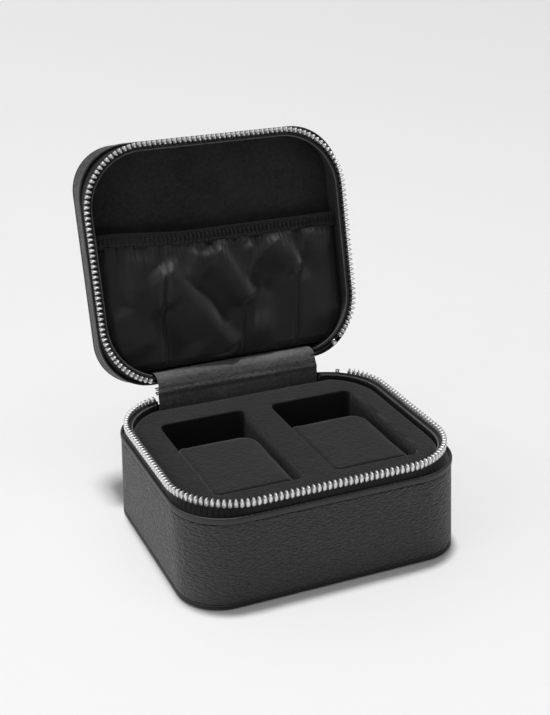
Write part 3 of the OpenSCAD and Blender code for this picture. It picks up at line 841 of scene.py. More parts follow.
def tooth_piece(turned):
    """One zip tooth with its feet at the origin: a blunt body, a waist and a narrower head."""
    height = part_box("base_zip_teeth")[1].z - TOOTH_FOOT
    half = 1.3 * MM
    body, head = 0.35 * sizes().tooth_pitch, 0.22 * sizes().tooth_pitch
    outline = [(body * y, z * height) for y, z in TOOTH_BODY]
    outline += [(head * y, z * height) for y, z in TOOTH_HEAD]
    loop = outline + [(-y, z) for y, z in reversed(outline)]
    middle = height * 0.5
    rings = []
    for x, share in TOOTH_LAYERS:
        ring = []
        for y, z in loop:
            clamp = 0.25 + 0.75 * smoothstep(0.12 * height, 0.3 * height, z)
            ring.append((x * half * clamp, y * share, middle + (z - middle) * (0.86 + 0.14 * share)))
        rings.append(ring)
    place = Matrix.Rotation(math.pi, 4, "Y") if turned else None
    return new_piece("tooth", mesh_of("tooth", *tube(rings), None, place), None)


def stitch_piece(pitch, width):
    """One stitch lying along Y: a low capsule, its ends dipping into the material."""
    rise, length_share = 0.16 * MM, 0.62
    corners = 6
    rings = []
    ends = [(-along, wide, lift) for along, wide, lift in reversed(STITCH_HALF)]
    for along, wide, lift in (*STITCH_HALF, *ends):
        ring = []
        for k in range(corners):
            angle = 2 * math.pi * k / corners
            x = rise * (math.cos(angle) * wide + lift)
            ring.append((x, along * length_share * pitch, math.sin(angle) * width * wide / 2))
        rings.append(ring)
    return new_piece("stitch", mesh_of("stitch", *tube(rings)), None)


# ---- Leather outside: walls, bindings, piping, panels, stitches ----

# Sections are lists of corners: how far in, level, corner radius of the outline there, and fillet

# The edge of an outer panel: how far in, and how far behind its face or before its back (mm)
PANEL_EDGE = ((6, 0), (2.4, 0), (1.6, 0.08), (0.9, 0.35), (0.52, 0.8), (0.42, 1.3))
PANEL_BACK = ((0.5, 0.2), (0.9, 0), (1.5, 0))
# The cord between a wall and its panel: how far in from the wall's face, its radius, and the points round it
CORD_INSET = 0.6 * MM
CORD_RADIUS = 0.62 * MM
CORD_POINTS = 12
# Width of the sewing thread
THREAD = 0.42 * MM
# How uneven in size stitches and teeth are, as shares
STITCH_UNEVEN = 0.08
BAND_UNEVEN = 0.1
TEETH_UNEVEN = 0.015


def wall_section(low, foot_r):
    """Leather wall, tucked in at the piping and under the binding, its corners squarer at the foot."""
    outer, inner, r = WALL_FACE, sizes().leather, sizes().corner_radius
    high = BINDING_FOOT
    return [
        (outer + 0.55 * MM, low - 0.1 * MM, foot_r, 0.3 * MM),
        (outer, low + 0.5 * MM, foot_r, 0.6 * MM),
        (outer, high - 0.75 * MM, r, 0.5 * MM),
        (outer + 0.5 * MM, high - 0.05 * MM, r, 0.35 * MM),
        (inner, high, r, 0.1 * MM),
        (inner, low, foot_r, 0.1 * MM),
    ]


def binding_section():
    """Folded leather edge: a soft band with a rounded top and a dip where it is stitched."""
    low, high, r = BINDING_FOOT, BASE_TOP, sizes().corner_radius
    inner = 1.18 * MM
    return [
        (0.75 * MM, low - 0.05 * MM, r, 0.15 * MM),
        (0.22 * MM, low + 0.12 * MM, r, 0.3 * MM),
        (0.0, low + 1.1 * MM, r, 0.9 * MM),
        (0.0, high - 0.7 * MM, r, 0.6 * MM),
        (0.35 * MM, high, r, 0.45 * MM),
        (inner, high - 0.05 * MM, r, 0.3 * MM),
        (inner, low, r, 0.1 * MM),
    ]


def round_section(middle, level, radius, outline_r, ring):
    """A cord's section round the place (middle, level), with as many points as ring says."""
    turns = [2 * math.pi * k / ring for k in range(ring)]
    return [(middle + radius * math.cos(a), level + radius * math.sin(a), outline_r) for a in turns]


def panel_rings(face, back, side, r):
    """Outer panel of leather: flat face, rolled edge, and a back that lies on the board."""
    rings = [(inset * MM, face + side * away * MM, r, 1.0) for inset, away in PANEL_EDGE]
    return rings + [(inset * MM, back - side * away * MM, r, 1.0) for inset, away in PANEL_BACK]


def stitch_line(body):
    """Points of the line of stitches under a binding, up to the hinge on both sides, and its length."""
    inset, below, gap = 0.42 * MM, 0.15 * MM, 34 * MM
    count = 420
    level = facing(BINDING_FOOT - below, body)
    r = sizes().corner_radius
    start = way_to(gap, inset, r)
    way = rim_length(inset, r) - 2 * start
    places = [rim_point(start + way * i / count, inset, r)[0] for i in range(count + 1)]
    return [(at.x, at.y, level) for at in places], way


class CASE_OT_leather(bpy.types.Operator):
    """Make the leather walls, bindings, piping, panels, stitches and boards of base and lid"""

    bl_idname = "case.leather"
    bl_label = "Leather"

    def execute(self, context):
        s = sizes()
        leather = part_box("base_bottom_panel")[1].z
        # The bottom panel takes the foot's darker, browner leather: painted shade for the shadow along the
        # case's foot
        bottom = panel_piece("bottom_leather", panel_rings(0.0, leather, 1, s.foot_radius), "foot")
        set_on(bottom, "base", "leather", "base_bottom_panel")
        rings = panel_rings(LID_TOP, LID_TOP - leather, -1, s.top_radius)
        top = panel_piece("top_leather", rings, "panel", OPENED, top_padding)
        set_on(top, "lid", "leather", "lid_top_panel")
        for body, foot, board_foot, end_r, cord in (
            ("base", WALL_FOOT, leather, s.foot_radius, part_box("base_piping")),
            ("lid", LID_FLIP - LID_WALL_TOP, LID_FLIP - LID_TOP + leather, s.top_radius, LID_PIPING),
        ):
            wall = rim_sweep(f"{body}_leather", rounded(wall_section(foot, end_r)), "leather", body)
            set_on(wall, body, "leather", f"{body}_leather_wall")
            edge = rim_sweep(f"{body}_edge", rounded(binding_section()), "binding", body)
            set_on(edge, body, "binding", f"{body}_binding")
            level = facing((cord[0].z + cord[1].z) / 2, body)
            section = round_section(WALL_FACE + CORD_INSET, level, CORD_RADIUS, end_r, CORD_POINTS)
            piping = rim_sweep(f"{body}_edge_cord", section, "binding", body)
            set_on(piping, body, "binding", f"{body}_piping")
            line, way = stitch_line(body)
            stitch = stitch_piece(s.stitch_pitch, THREAD)
            count = round(way / s.stitch_pitch)
            row = row_along(f"{body}_stitches", line, count, stitch, "thread", STITCH_UNEVEN, PLACES[body])
            set_on(row, body, "binding")
            rings = board_rings(board_foot, end_r, body)
            board = panel_piece(f"{body}_stiffener", rings, "board", PLACES[body])
            set_on(board, body, "board", f"{body}_board")
        return {"FINISHED"}


def board_rings(low, end_r, body):
    """Stiff board behind the leather: a tray whose corners lean as the wall's do."""
    s = sizes()
    outer, inner, floor = s.leather + 0.06 * MM, s.leather + 2.0 * MM, low + 2.0 * MM
    corners = (
        (outer, low, end_r),
        (outer, BOARD_TOP, s.corner_radius),
        (inner, BOARD_TOP, s.corner_radius),
        (inner, floor, s.corner_radius),
    )
    return [(inset, facing(level, body), r, 1.0) for inset, level, r in corners]


def top_padding(x, y, level):
    """The top panel's face isn't dead flat: thin padding gives it a shallow roll."""
    if abs(level - LID_TOP) > 0.01 * MM:
        return 0.0
    return -0.12 * MM * (0.5 + 0.5 * lump(x * 22, y * 22, 0.3))


# ---- Zip: tapes, teeth, slider and pull ----


def tape_section():
    """Woven tape from behind the binding up to the feet of the teeth, leaning in at the corners."""
    s = sizes()
    front = [
        (BOARD_TOP + 0.1 * MM, s.corner_radius, 0.1 * MM),
        (TAPE_LEAN, s.corner_radius, 0.3 * MM),
        (TOOTH_FOOT, s.zip_radius, 0.3 * MM),
        (TOOTH_FOOT + 1.6 * MM, s.zip_radius, 0.3 * MM),
    ]
    outer, inner = s.leather + 0.05 * MM, s.leather + s.tape
    return [(outer, *rest) for rest in front] + [(inner, *rest) for rest in reversed(front)]


def zip_line(shift, body):
    """Line through the feet of a chain's teeth, shifted by a share of a tooth, and how many teeth it has."""
    s = sizes()
    middle = s.leather + s.tape / 2
    start = way_to(FLAP[1].x + 1.0 * MM, middle, s.zip_radius)
    end = rim_length(middle, s.zip_radius) - way_to(FLAP[1].x + 13.0 * MM, middle, s.zip_radius)
    count = int((end - start) / s.tooth_pitch) - 1
    first = start + (0.5 + shift) * s.tooth_pitch
    way = (count - 1) * s.tooth_pitch
    steps = count * 4
    places = [rim_point(first + way * i / steps, middle, s.zip_radius)[0] for i in range(steps + 1)]
    return [(at.x, at.y, facing(TOOTH_FOOT, body)) for at in places], count


def flat_plate(name, outline, y, thickness, material, place=None):
    """A plate of that outline in X and Z, its rear face at y."""
    count = len(outline)
    points = [(x, y, z) for x, z in outline] + [(x, y - thickness, z) for x, z in outline]
    faces = [tuple(range(count)), tuple(range(count, 2 * count))]
    faces += [(k, (k + 1) % count, count + (k + 1) % count, count + k) for k in range(count)]
    uvs = [(points[v][0], points[v][2]) for face in faces for v in face]
    return new_piece(name, mesh_of(name, points, faces, uvs, place), material, smooth=False)


def tail_outline():
    """The joined end of the tapes beside the flap, up to the slider: points in X and Z."""
    edge, right = -FLAP[1].x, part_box("zip_end_stop")[1].x
    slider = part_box("zip_slider")
    left = slider[0].x - 2.3 * MM
    step, high, top = left + 1.6 * MM, slider[1].z - 1.8 * MM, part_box("base_zip_tape")[1].z
    low = TOOTH_FOOT - 1 * MM
    return [
        (edge, BOARD_TOP), (right, BOARD_TOP), (right, high), (step, high),
        (step, top), (left, top), (left, low), (edge, low),
    ]


class CASE_OT_zip(bpy.types.Operator):
    """Make the zip: both tapes and chains, the joined end, the slider and its pull"""

    bl_idname = "case.zip"
    bl_label = "Zip"

    def execute(self, context):
        edge = FLAP[1].x
        for body, left, shift in (("base", edge, 0), ("lid", edge + 2 * MM, 0.5)):
            section = rounded(tape_section(), 3)
            tape = rim_sweep(f"{body}_tape", section, "tape", body, left, edge - 3 * MM)
            set_on(tape, body, "tape", f"{body}_zip_tape")
            line, count = zip_line(shift, body)
            tooth = tooth_piece(body == "lid")
            chain = row_along(f"{body}_teeth", line, count, tooth, "teeth", TEETH_UNEVEN, PLACES[body])
            set_on(chain, body, "teeth", f"{body}_zip_teeth")
        tail = flat_plate("zip_tail", tail_outline(), HALF_D - sizes().leather, sizes().tape, "tape")
        set_on(tail, "base", "tape")
        polished("end_teeth", "zip_end_teeth", "base")
        polished("end_stop", "zip_end_stop", "base")
        polished("slider", "zip_slider", "base", 0.3 * MM)
        polished("pull_link", "zip_pull_link", "zip_pull_link")
        polished("pull_tab", "zip_pull", "zip_pull", 0.3 * MM)
        polished("base_stop", "base_top_stop", "base")
        polished("lid_stop", "lid_top_stop", "lid")
        return {"FINISHED"}


# ---- Linings ----


# Rings across the flat face of the lid panel's lining, as shares of its size: its waves need them
LINING_SCALES = (0.08, 0.2, 0.35, 0.5, 0.62, 0.74, 0.84, 0.92, 0.97, 1.0)
# A lining's rolled lip: directions in degrees of the points round it, and its radius
LIP_TURNS = (-35, 0, 30, 60, 90, 120, 150, 180, 212)
LIP_RADIUS = 0.95 * MM
# A painted highlight along each lining's lip, a thin pale bead where the rolled lip catches light: how far in
# from the lining's back and below the lip's top, its radius
LIP_HIGHLIGHT_INSET = 1.25 * MM
LIP_HIGHLIGHT_BELOW = 0.55 * MM
LIP_HIGHLIGHT_RADIUS = 0.4 * MM
LIP_HIGHLIGHT_POINTS = 8
# How far in from the case's outline the lid panel's flat face ends
PANEL_LINING_INSET = 4.1 * MM


def liner_back():
    """How far in the back of a wall's lining lies."""
    return sizes().leather + 2.1 * MM


def liner_section(foot):
    """Suede lining of a wall with its rolled lip beside the teeth."""
    r, z_r = sizes().corner_radius, sizes().zip_radius
    back = liner_back()
    face = back + 0.75 * MM
    lip, lip_level = face - 0.35 * MM, LIP_TOP - LIP_RADIUS
    tape_back = sizes().leather + sizes().tape + 0.15 * MM
    turns = [math.radians(d) for d in LIP_TURNS]
    return [
        (back, foot, r, 0.1 * MM),
        (back, BOARD_TOP - 0.05 * MM, r, 0.1 * MM),
        (tape_back, BOARD_TOP + 0.1 * MM, r, 0.1 * MM),
        (tape_back, TAPE_LEAN, r, 0.2 * MM),
        (tape_back, TOOTH_FOOT - 0.4 * MM, z_r, 0.2 * MM),
        *[(lip - LIP_RADIUS * math.cos(a), lip_level + LIP_RADIUS * math.sin(a), z_r, 0.0) for a in turns],
        (face, TOOTH_FOOT - 0.6 * MM, z_r, 0.4 * MM),
        (face, BOARD_TOP - 3.0 * MM, r, 0.6 * MM),
        (face, foot, r, 0.1 * MM),
    ]


def lip_ripple(way, index):
    """The lip's roll is a little uneven, as sewn suede is."""
    return 0.09 * MM * lump(way * 110, index * 0.05, 1.7)


class CASE_OT_lining(bpy.types.Operator):
    """Make the suede linings of the walls with a painted highlight along their lips, and the linings of floor
    and lid
    """

    bl_idname = "case.lining"
    bl_label = "Lining"

    def execute(self, context):
        edge = FLAP[1].x + 2 * MM
        base_foot = FLOOR_Z + 0.05 * MM
        for body, suede, foot, low, high in (
            ("base", "suede", base_foot, base_foot, BASE_TOP - 1 * MM),
            ("lid", "lid_suede", LID_FLIP - LINING[0].z, LID_FLIP - BOARD_TOP, LINING[0].z),
        ):
            section = rounded(liner_section(foot))
            liner = rim_sweep(f"{body}_lining", section, suede, body, edge, edge, lip_ripple)
            set_on(liner, body, suede, f"{body}_liner")
            outline = [(-edge, low), (edge, low), (edge, high), (-edge, high)]
            y = HALF_D - liner_back()
            back = flat_plate(f"{body}_back_lining", outline, y, 0.7 * MM, suede, PLACES[body])
            set_on(back, body, suede)
            # Painted highlight: a thin bead of the flap's pale suede along the lip, where the rolled lip
            # catches light
            middle, level = liner_back() + LIP_HIGHLIGHT_INSET, LIP_TOP - LIP_HIGHLIGHT_BELOW
            section = round_section(middle, level, LIP_HIGHLIGHT_RADIUS, sizes().zip_radius, LIP_HIGHLIGHT_POINTS)
            lip = rim_sweep(f"{body}_lip", section, "flap", body, edge, edge)
            set_on(lip, body, suede)
        dress(frame["nodes"]["base_floor_lining"].data, "suede")
        panel = panel_piece("lid_panel_suede", lining_rings(), "lid_suede", OPENED, lining_waves)
        set_on(panel, "lid", "lid_suede", "lid_panel_lining")
        return {"FINISHED"}


def lining_rings():
    """The lid panel's lining: its face from the middle out, a rolled edge and its back."""
    r = sizes().corner_radius
    back, face = LINING[1].z, LINING[0].z
    rings = [(PANEL_LINING_INSET, face, r, share) for share in LINING_SCALES]
    rings += [(3.5 * MM, face + 0.2 * MM, r, 1.0), (3.4 * MM, back - 0.05 * MM, r, 1.0)]
    return rings + [(5 * MM, back - 0.02 * MM, r, share) for share in (1.0, 0.5)]


def lining_waves(x, y, level):
    """The lid's lining is glued down and lies in very shallow waves."""
    if level > LINING[0].z + 0.1 * MM:
        return 0.0
    return -0.22 * MM * lump(x * 26, y * 20, 4.0) - 0.1 * MM


# ---- Insert and cushions ----


# Spacing of the points on the insert's top, and how uneven the suede of the insert and of a cushion lies
TOP_SPACING = 3.2 * MM
INSERT_UNEVEN = 0.09 * MM
CUSHION_UNEVEN = 0.08 * MM
# Levels above its foot (mm) at which a cushion's side has points, and the size of its cover's faces
CUSHION_LEVELS = (0, 3, 10, 20, 30)
COVER_FACE = 1.5 * MM


def rounded_plan(low, high, radii):
    """Points and outward directions of a rectangle with corner radii, from its front left corner on."""
    steps = 10
    centres = ((low, low), (high, low), (high, high), (low, high))
    line = []
    for k, radius in enumerate(radii):
        corner = Vector((centres[k][0].x, centres[k][1].y))
        inward = Vector((1 if k in (0, 3) else -1, 1 if k in (0, 1) else -1))
        middle = corner + inward * radius
        for i in range(steps + 1):
            angle = math.pi + (k + i / steps) * math.pi / 2
            out = Vector((math.cos(angle), math.sin(angle)))
            line.append((middle + out * radius, out))
    return line


def insert_plan(shrink):
    """The insert's outline: the zip's rounded outline moved in, cut straight before the flap."""
    r = sizes().zip_radius
    inset, back = HALF_W - INSERT[1].x + shrink, INSERT[1].y - shrink
    places = [rim_point(way, inset, r)[0] for way in rim_stations(inset, r)[:-1]]
    return [(at.x, min(at.y, back)) for at in places]


def rolled(radius, top, steps):
    """How far in, and at what level, an upper edge of that radius goes."""
    turns = [math.pi / 2 * k / steps for k in range(steps + 1)]
    return [(radius * (1 - math.cos(a)), top - radius * (1 - math.sin(a))) for a in turns]


def insert_mesh():
    """The insert: a block with a rounded upper edge and two wells with crisp, slightly rolled edges."""
    edge, crisp = sizes().insert_edge, sizes().well_edge
    low, top = INSERT[0].z, INSERT[1].z
    points, faces = [], []
    profile = [(0.0, low), (0.0, top - edge - 2 * MM), *rolled(edge, top, 7)]
    walls = [[[(x, y, z) for x, y in insert_plan(shrink)] for shrink, z in profile]]
    profile = [(0.0, low), (0.0, low + 8 * MM), (0.0, top - 6 * MM), *rolled(crisp, top, 4)]
    for sign in (-1, 1):
        plan = well_plan(sign)
        walls.append([[(*(p + out * grow), z) for p, out in plan] for grow, z in profile])
    loops, feet = [], []
    for rings in walls:
        last, first = ring_between(rings, points, faces)
        loops.append((last, len(rings[0])))
        feet.append((first, len(rings[0])))
    fill_between(points, faces, loops, top, TOP_SPACING)
    fill_between(points, faces, feet, low, 0)
    return mesh_of("insert_block", points, faces)


def inside_outline(at, inset, corner):
    """Whether a place lies inside the case's rounded outline moved in."""
    over_x, over_y = abs(at.x) - HALF_W + corner, abs(at.y) - HALF_D + corner
    if over_x > 0 and over_y > 0:
        return math.hypot(over_x, over_y) < corner - inset
    return abs(at.x) < HALF_W - inset and abs(at.y) < HALF_D - inset


def well_plan(sign):
    """A well's outline, from the CAD insert's lowest points on that side that aren't on its outside."""
    margin = 2 * MM
    inset = HALF_W - INSERT[1].x + margin
    inner = []
    for vertex in frame["nodes"]["watch_insert"].data.vertices:
        at = vertex.co
        if abs(at.z - INSERT[0].z) < 0.01 * MM and sign * at.x > 0 and at.y < INSERT[1].y - margin:
            if inside_outline(at, inset, sizes().zip_radius):
                inner.append(at)
    low = Vector((min(p.x for p in inner), min(p.y for p in inner)))
    high = Vector((max(p.x for p in inner), max(p.y for p in inner)))
    return rounded_plan(low, high, [sizes().well_radius] * 4)


def fill_between(points, faces, borders, level, spacing):
    """Closes the face between an outer loop and those inside it, with a grid of points if spaced."""
    index, edges, loops = [], [], []
    for first, count in borders:
        start = len(index)
        index += range(first, first + count)
        edges += [(start + k, start + (k + 1) % count) for k in range(count)]
        loops.append([Vector(points[i][:2]) for i in range(first, first + count)])
    flat = [p for loop in loops for p in loop]
    border = np.array(flat)
    if spacing:
        low, high = Vector(border.min(0)), Vector(border.max(0))
        for i in range(1, int((high.x - low.x) / spacing)):
            for j in range(1, int((high.y - low.y) / spacing)):
                spot = low + Vector((i, j + 0.5 * (i % 2))) * spacing
                if not within(spot, loops[0]) or any(within(spot, hole) for hole in loops[1:]):
                    continue
                if np.linalg.norm(border - np.array(spot), axis=1).min() > 0.5 * spacing:
                    index.append(len(points))
                    points.append((spot.x, spot.y, level))
                    flat.append(spot)
    found = geometry.delaunay_2d_cdt(flat, edges, [], 1, 1e-7)
    for face in found[2]:
        middle = sum((found[0][v] for v in face), Vector((0, 0))) / 3
        if not any(within(middle, hole) for hole in loops[1:]):
            faces.append(tuple(index[found[3][v][0]] for v in face))


def within(spot, loop):
    """Whether a spot lies inside a loop of points."""
    inside = False
    for a, b in zip(loop, loop[1:] + loop[:1]):
        if (a.y > spot.y) != (b.y > spot.y) and spot.x < a.x + (spot.y - a.y) * (b.x - a.x) / (b.y - a.y):
            inside = not inside
    return inside


def uneven(piece, amount):
    """Pushes the piece's surface in by a little noise, so that it isn't dead flat."""
    places, normals = points_of(piece), points_of(piece, "normal")
    broad, fine = 42, 130
    for place, normal in zip(places, normals):
        push = 2 * lump(*(place * broad)) + lump(*(place * fine)) - 1
        place += normal * push * amount
    move_points(piece, places)


def snug_box(node):
    """A cushion's box, its cover pressed against the front and left of its well and level with the insert."""
    low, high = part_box(node)
    snug = sizes().cushion_snug
    return low - Vector((snug, snug, 0)), high + Vector((0, 0, 0.5 * snug))


def cushion_mesh(node):
    """A cushion's cover: close to its well at the front and left, rounder at the back and right."""
    s = sizes()
    low, high = snug_box(node)
    front_left, corner = 3.5 * MM, 4.5 * MM
    plan = rounded_plan(low.xy, high.xy, (front_left, corner, s.cushion_corner, corner))
    rings = [[(p.x, p.y, low.z + up * MM) for p, out in plan] for up in CUSHION_LEVELS]
    steps = 6
    for k in range(steps + 1):
        a = math.pi / 2 * k / steps
        ring = []
        for p, out in plan:
            free = smoothstep(-0.5, 0.5, (out.x + out.y) / math.sqrt(2))
            edge = s.cushion_tight + (s.cushion_loose - s.cushion_tight) * free
            inward = edge * (1 - math.cos(a))
            ring.append((p.x - out.x * inward, p.y - out.y * inward, high.z - edge * (1 - math.sin(a))))
        rings.append(ring)
    return mesh_of(node, *tube(rings))


def softened(name, mesh, material):
    """A foam piece under suede: edges rounded by the cover, surface a little uneven."""
    piece = new_piece(name, mesh, material)
    remesh = piece.modifiers.new("cover", "REMESH")
    remesh.mode = "VOXEL"
    remesh.voxel_size = COVER_FACE
    remesh.use_smooth_shade = True
    relax = piece.modifiers.new("relax", "SMOOTH")
    relax.factor = 0.5
    relax.iterations = 2
    baked(piece)
    uneven(piece, CUSHION_UNEVEN)
    dress(piece.data, material)
    return piece


def points_of(piece, what="co"):
    """The places, or the normals, of all points of a piece as one array."""
    found = np.empty(len(piece.data.vertices) * 3, np.float32)
    piece.data.vertices.foreach_get(what, found)
    return found.reshape(-1, 3).astype(float)


def move_points(piece, places):
    piece.data.vertices.foreach_set("co", np.asarray(places, np.float32).ravel())
    piece.data.update()


# Cloth settings of a cushion's cover, which the stuffing presses outwards
STUFFING = {
    "quality": 4,
    "mass": 0.2,
    "tension_stiffness": 12,
    "compression_stiffness": 12,
    "bending_stiffness": 0.6,
    "use_pressure": True,
    "uniform_pressure_force": 3.0,
}


def stuff(piece, limit):
    """Cloth under light pressure, its movement limited, so that the cover crowns between its corners."""
    frames = 12
    rest = points_of(piece)
    cloth = piece.modifiers.new("cover", "CLOTH")
    for key, value in STUFFING.items():
        setattr(cloth.settings, key, value)
    cloth.settings.effector_weights.gravity = 0
    cloth.collision_settings.use_collision = False
    cloth.point_cache.frame_start = 1
    cloth.point_cache.frame_end = frames
    scene = bpy.context.scene
    for step in range(1, frames + 1):
        scene.frame_set(step)
    baked(piece)
    scene.frame_set(1)
    moved = points_of(piece) - rest
    far = np.linalg.norm(moved, axis=1, keepdims=True)
    moved *= np.minimum(1, limit / np.maximum(far, 1e-9))
    move_points(piece, rest + moved)


class CASE_OT_insert(bpy.types.Operator):
    """Make the suede-covered insert and the two stuffed watch cushions"""

    bl_idname = "case.insert"
    bl_label = "Insert and cushions"

    def execute(self, context):
        block = new_piece("insert_block", insert_mesh(), "suede")
        uneven(block, INSERT_UNEVEN)
        set_on(block, "base", "suede", "watch_insert")
        for side in ("left", "right"):
            node = f"watch_cushion_{side}"
            cushion = softened(f"cushion_{side}", cushion_mesh(node), "cushion")
            stuff(cushion, sizes().cushion_swell)
            keep_inside(cushion, snug_box(node))
            smooth = cushion.modifiers.new("smooth", "SUBSURF")
            smooth.levels = smooth.render_levels = 1
            baked(cushion)
            cushion.data.shade_smooth()
            set_on(cushion, node, "cushion_suede", node)
        return {"FINISHED"}


def keep_inside(piece, box):
    """No point of the piece lies outside the box."""
    move_points(piece, np.clip(points_of(piece), box[0], box[1]))


# ---- Pocket ----

# How far in from the case's outline the pocket's foot and its sides lie
POCKET_FOOT = 7.6 * MM
POCKET_SIDE = 4.5 * MM
# Its mouth: how far above the elastic's lower edge, how much it droops to the left, and between which places
MOUTH_RISE = 1.6 * MM
MOUTH_DROOP = 3.4 * MM
DROOP_LEFT, DROOP_RIGHT = -66 * MM, -16 * MM
# How far from its sewn edges, and from the band, the cloth takes to stand free
SIDE_TUCK = 7 * MM
TOP_TUCK = 3 * MM
# The two rows of stitches on the band, and the band's ruffled part, as shares of its height
BAND_ROWS = (0.2, 0.78)
BAND_THREAD = 0.4 * MM
RUFFLED_FROM, RUFFLED_TO = 0.17, 0.8


def mouth_at(x):
    """Level of the pocket's mouth along the lid: it droops a little towards the left."""
    return ELASTIC[0].y + MOUTH_RISE - MOUTH_DROOP * (1 - smoothstep(DROOP_LEFT, DROOP_RIGHT, x))


def side_at(y):
    """Half width of the pocket between the lining's side walls, narrower in the back corners."""
    inset, r = POCKET_SIDE, sizes().corner_radius
    centre = HALF_D - r
    if y <= centre:
        return HALF_W - inset
    rise = min(y - centre, r - inset)
    return HALF_W - r + math.sqrt(max(0.0, (r - inset) ** 2 - rise**2))


def ridge(x, y, start, end, width, height, steep):
    """A fold of cloth along a line from start to end: a rounded crest, its far side the steeper one."""
    (x0, y0), (x1, y1) = start, end
    dx, dy = x1 - x0, y1 - y0
    way = math.hypot(dx, dy)
    along = ((x - x0) * dx + (y - y0) * dy) / way
    off = ((x - x0) * dy - (y - y0) * dx) / way
    begun = smoothstep(-0.5 * width, 0.35 * width, along)
    ended = smoothstep(way - 0.4 * width, way + 0.5 * width, along)
    wide = width if off < 0 else width * steep
    return height * begun * (1 - ended) * math.exp(-((off / wide) ** 2))


# Folds and hollows: start and end (mm across and down the lid), width (mm), share of the full depth, and the
# width of the far side as a share of the near side's
FOLDS = (
    ((-46, -4), (-52, 16), 10, 0.4, 0.9),
    ((-34, 4), (0, 52), 9.0, 1.0, 0.8),
    ((-36, 26), (-24, 50), 8.0, -0.55, 1.0),
    ((-13, 12), (2, 34), 7.0, -0.5, 1.0),
    ((-14, -3), (-20, 10), 5.0, 0.35, 0.9),
    ((-4, -4), (12, 26), 6.5, 0.95, 0.9),
    ((18, 10), (32, 19), 8.0, -0.65, 1.0),
    ((13, 42), (24, 46), 10, 0.45, 1.0),
    ((16, -3), (22, 5), 4.5, 0.4, 0.9),
    ((31, -5), (44, 13), 6.5, 0.75, 0.85),
    ((48, 5), (52, 9), 6.0, -0.4, 1.0),
    ((50, -4), (64, -2), 5.0, 0.4, 1.0),
    ((50, 18), (58, 44), 9, 0.3, 1.0),
    ((-60, 24), (-52, 46), 9, 0.25, 1.0),
)
# Pleats sewn into the pocket's foot: where each begins and ends (mm)
PLEATS = (((-34, -4), (-38, 56)), ((11, 27), (5, 57)), ((44, 14), (38, 57)))
# Puckers under the band: how far down they fade and their height (mm), their waves across and down (per mm),
# and their place in the noise
PUCKERS = ((26, 2.0, 0.16, 0.025, 6.4), (8, 1.6, 0.42, 0.07, 1.3))


def pleat_height(x, y, start, end):
    """Height in mm of a pleat: a sharp step down from its left side to its right."""
    t = (y - start[1]) / (end[1] - start[1])
    off = x - (start[0] + (end[0] - start[0]) * t)
    step = 0.8 * math.exp(-((off + 1.2) / 1.2) ** 2) - 0.8 * math.exp(-((off - 1.2) / 1.4) ** 2)
    hollow = 0.5 * smoothstep(0, 10, off) * (1 - smoothstep(10, 20, off))
    return smoothstep(-0.05, 0.25, t) * (step - hollow)


def cloth_height(x, y, top):
    """How far the pocket's cloth stands out at a place on the lid."""
    mm_x, mm_y = x / MM, y / MM
    height = sum(ridge(mm_x, mm_y, *fold) for fold in FOLDS) * sizes().fold_depth
    height += sum(pleat_height(mm_x, mm_y, *pleat) for pleat in PLEATS) * MM
    below = (y - top) / MM
    lean = mm_x + 0.25 * below * lump(mm_x * 0.05, 9.1)
    for fade, rise, across, down, place in PUCKERS:
        height += math.exp(-below / fade) * rise * MM * lump(lean * across, mm_y * down, place)
    wave = math.sin(mm_x * 2 * math.pi / 2.4 + 2 * lump(mm_x * 0.09, 0.4))
    return height + 0.4 * MM * (math.exp(-below / 3) * wave + lump(mm_x * 0.06, mm_y * 0.05, 2.2))


def pocket_surface(u, v):
    """Face of the pocket's cloth, in the shut lid."""
    foot = HALF_D - POCKET_FOOT
    across = 2 * u - 1
    under_band = 0.8 * MM
    top = mouth_at(across * side_at(0)) + elastic_height() - under_band
    y = top + (foot - top) * v
    half = side_at(y) - 0.2 * MM
    x = across * half
    tuck = smoothstep(0, SIDE_TUCK, min(half - abs(x), 1.6 * (foot - y)))
    held = 1 - smoothstep(0, TOP_TUCK, y - top)
    stand = 1.4 * MM + (1.0 * MM + cloth_height(x, y, top)) * tuck - 0.7 * MM * held
    return (x, y, POCKET[0].z + 1.6 * MM * (2 - tuck) - stand)


def elastic_height():
    return ELASTIC[1].y - ELASTIC[0].y + 1.4 * MM


def elastic_surface(u, v):
    """Face of the elastic band: a plain hem above, ruffles between two rows of stitches, a frill below."""
    half = side_at(mouth_at(0)) - 0.3 * MM
    x = (2 * u - 1) * half
    y = mouth_at(x) + elastic_height() * v
    mm_x = x / MM
    pitch = sizes().ruffle_pitch / MM
    wobble = 1.4 * lump(mm_x * 0.07, 1.0) + 0.5 * lump(mm_x * 0.3, 7.0)
    strength = 0.5 + 0.5 * smoothstep(-45, -5, mm_x) + 0.2 * lump(mm_x * 0.05, 3.0)
    inside = smoothstep(RUFFLED_FROM, RUFFLED_TO, v)
    band = math.sin(math.pi * inside) ** 0.7 if 0 < inside < 1 else 0.0
    frill = smoothstep(0.82, 1.0, v)
    hem = math.exp(-(((v - 0.06) / 0.045) ** 2))
    ruffle = 1.05 * strength * band * math.sin(2 * math.pi * (mm_x + 0.25 * v) / pitch + wobble)
    edge = 0.3 * frill * (math.sin(2 * math.pi * mm_x / pitch + wobble) - 1)
    stand = 0.9 + ruffle + edge + 0.95 * hem + 0.5 * band
    return (x, y, ELASTIC[1].z - (0.9 + stand) * MM)


def band_line(v):
    """A line of stitches along the elastic band."""
    count = 300
    return [elastic_surface(0.015 + 0.97 * i / count, v) for i in range(count + 1)]


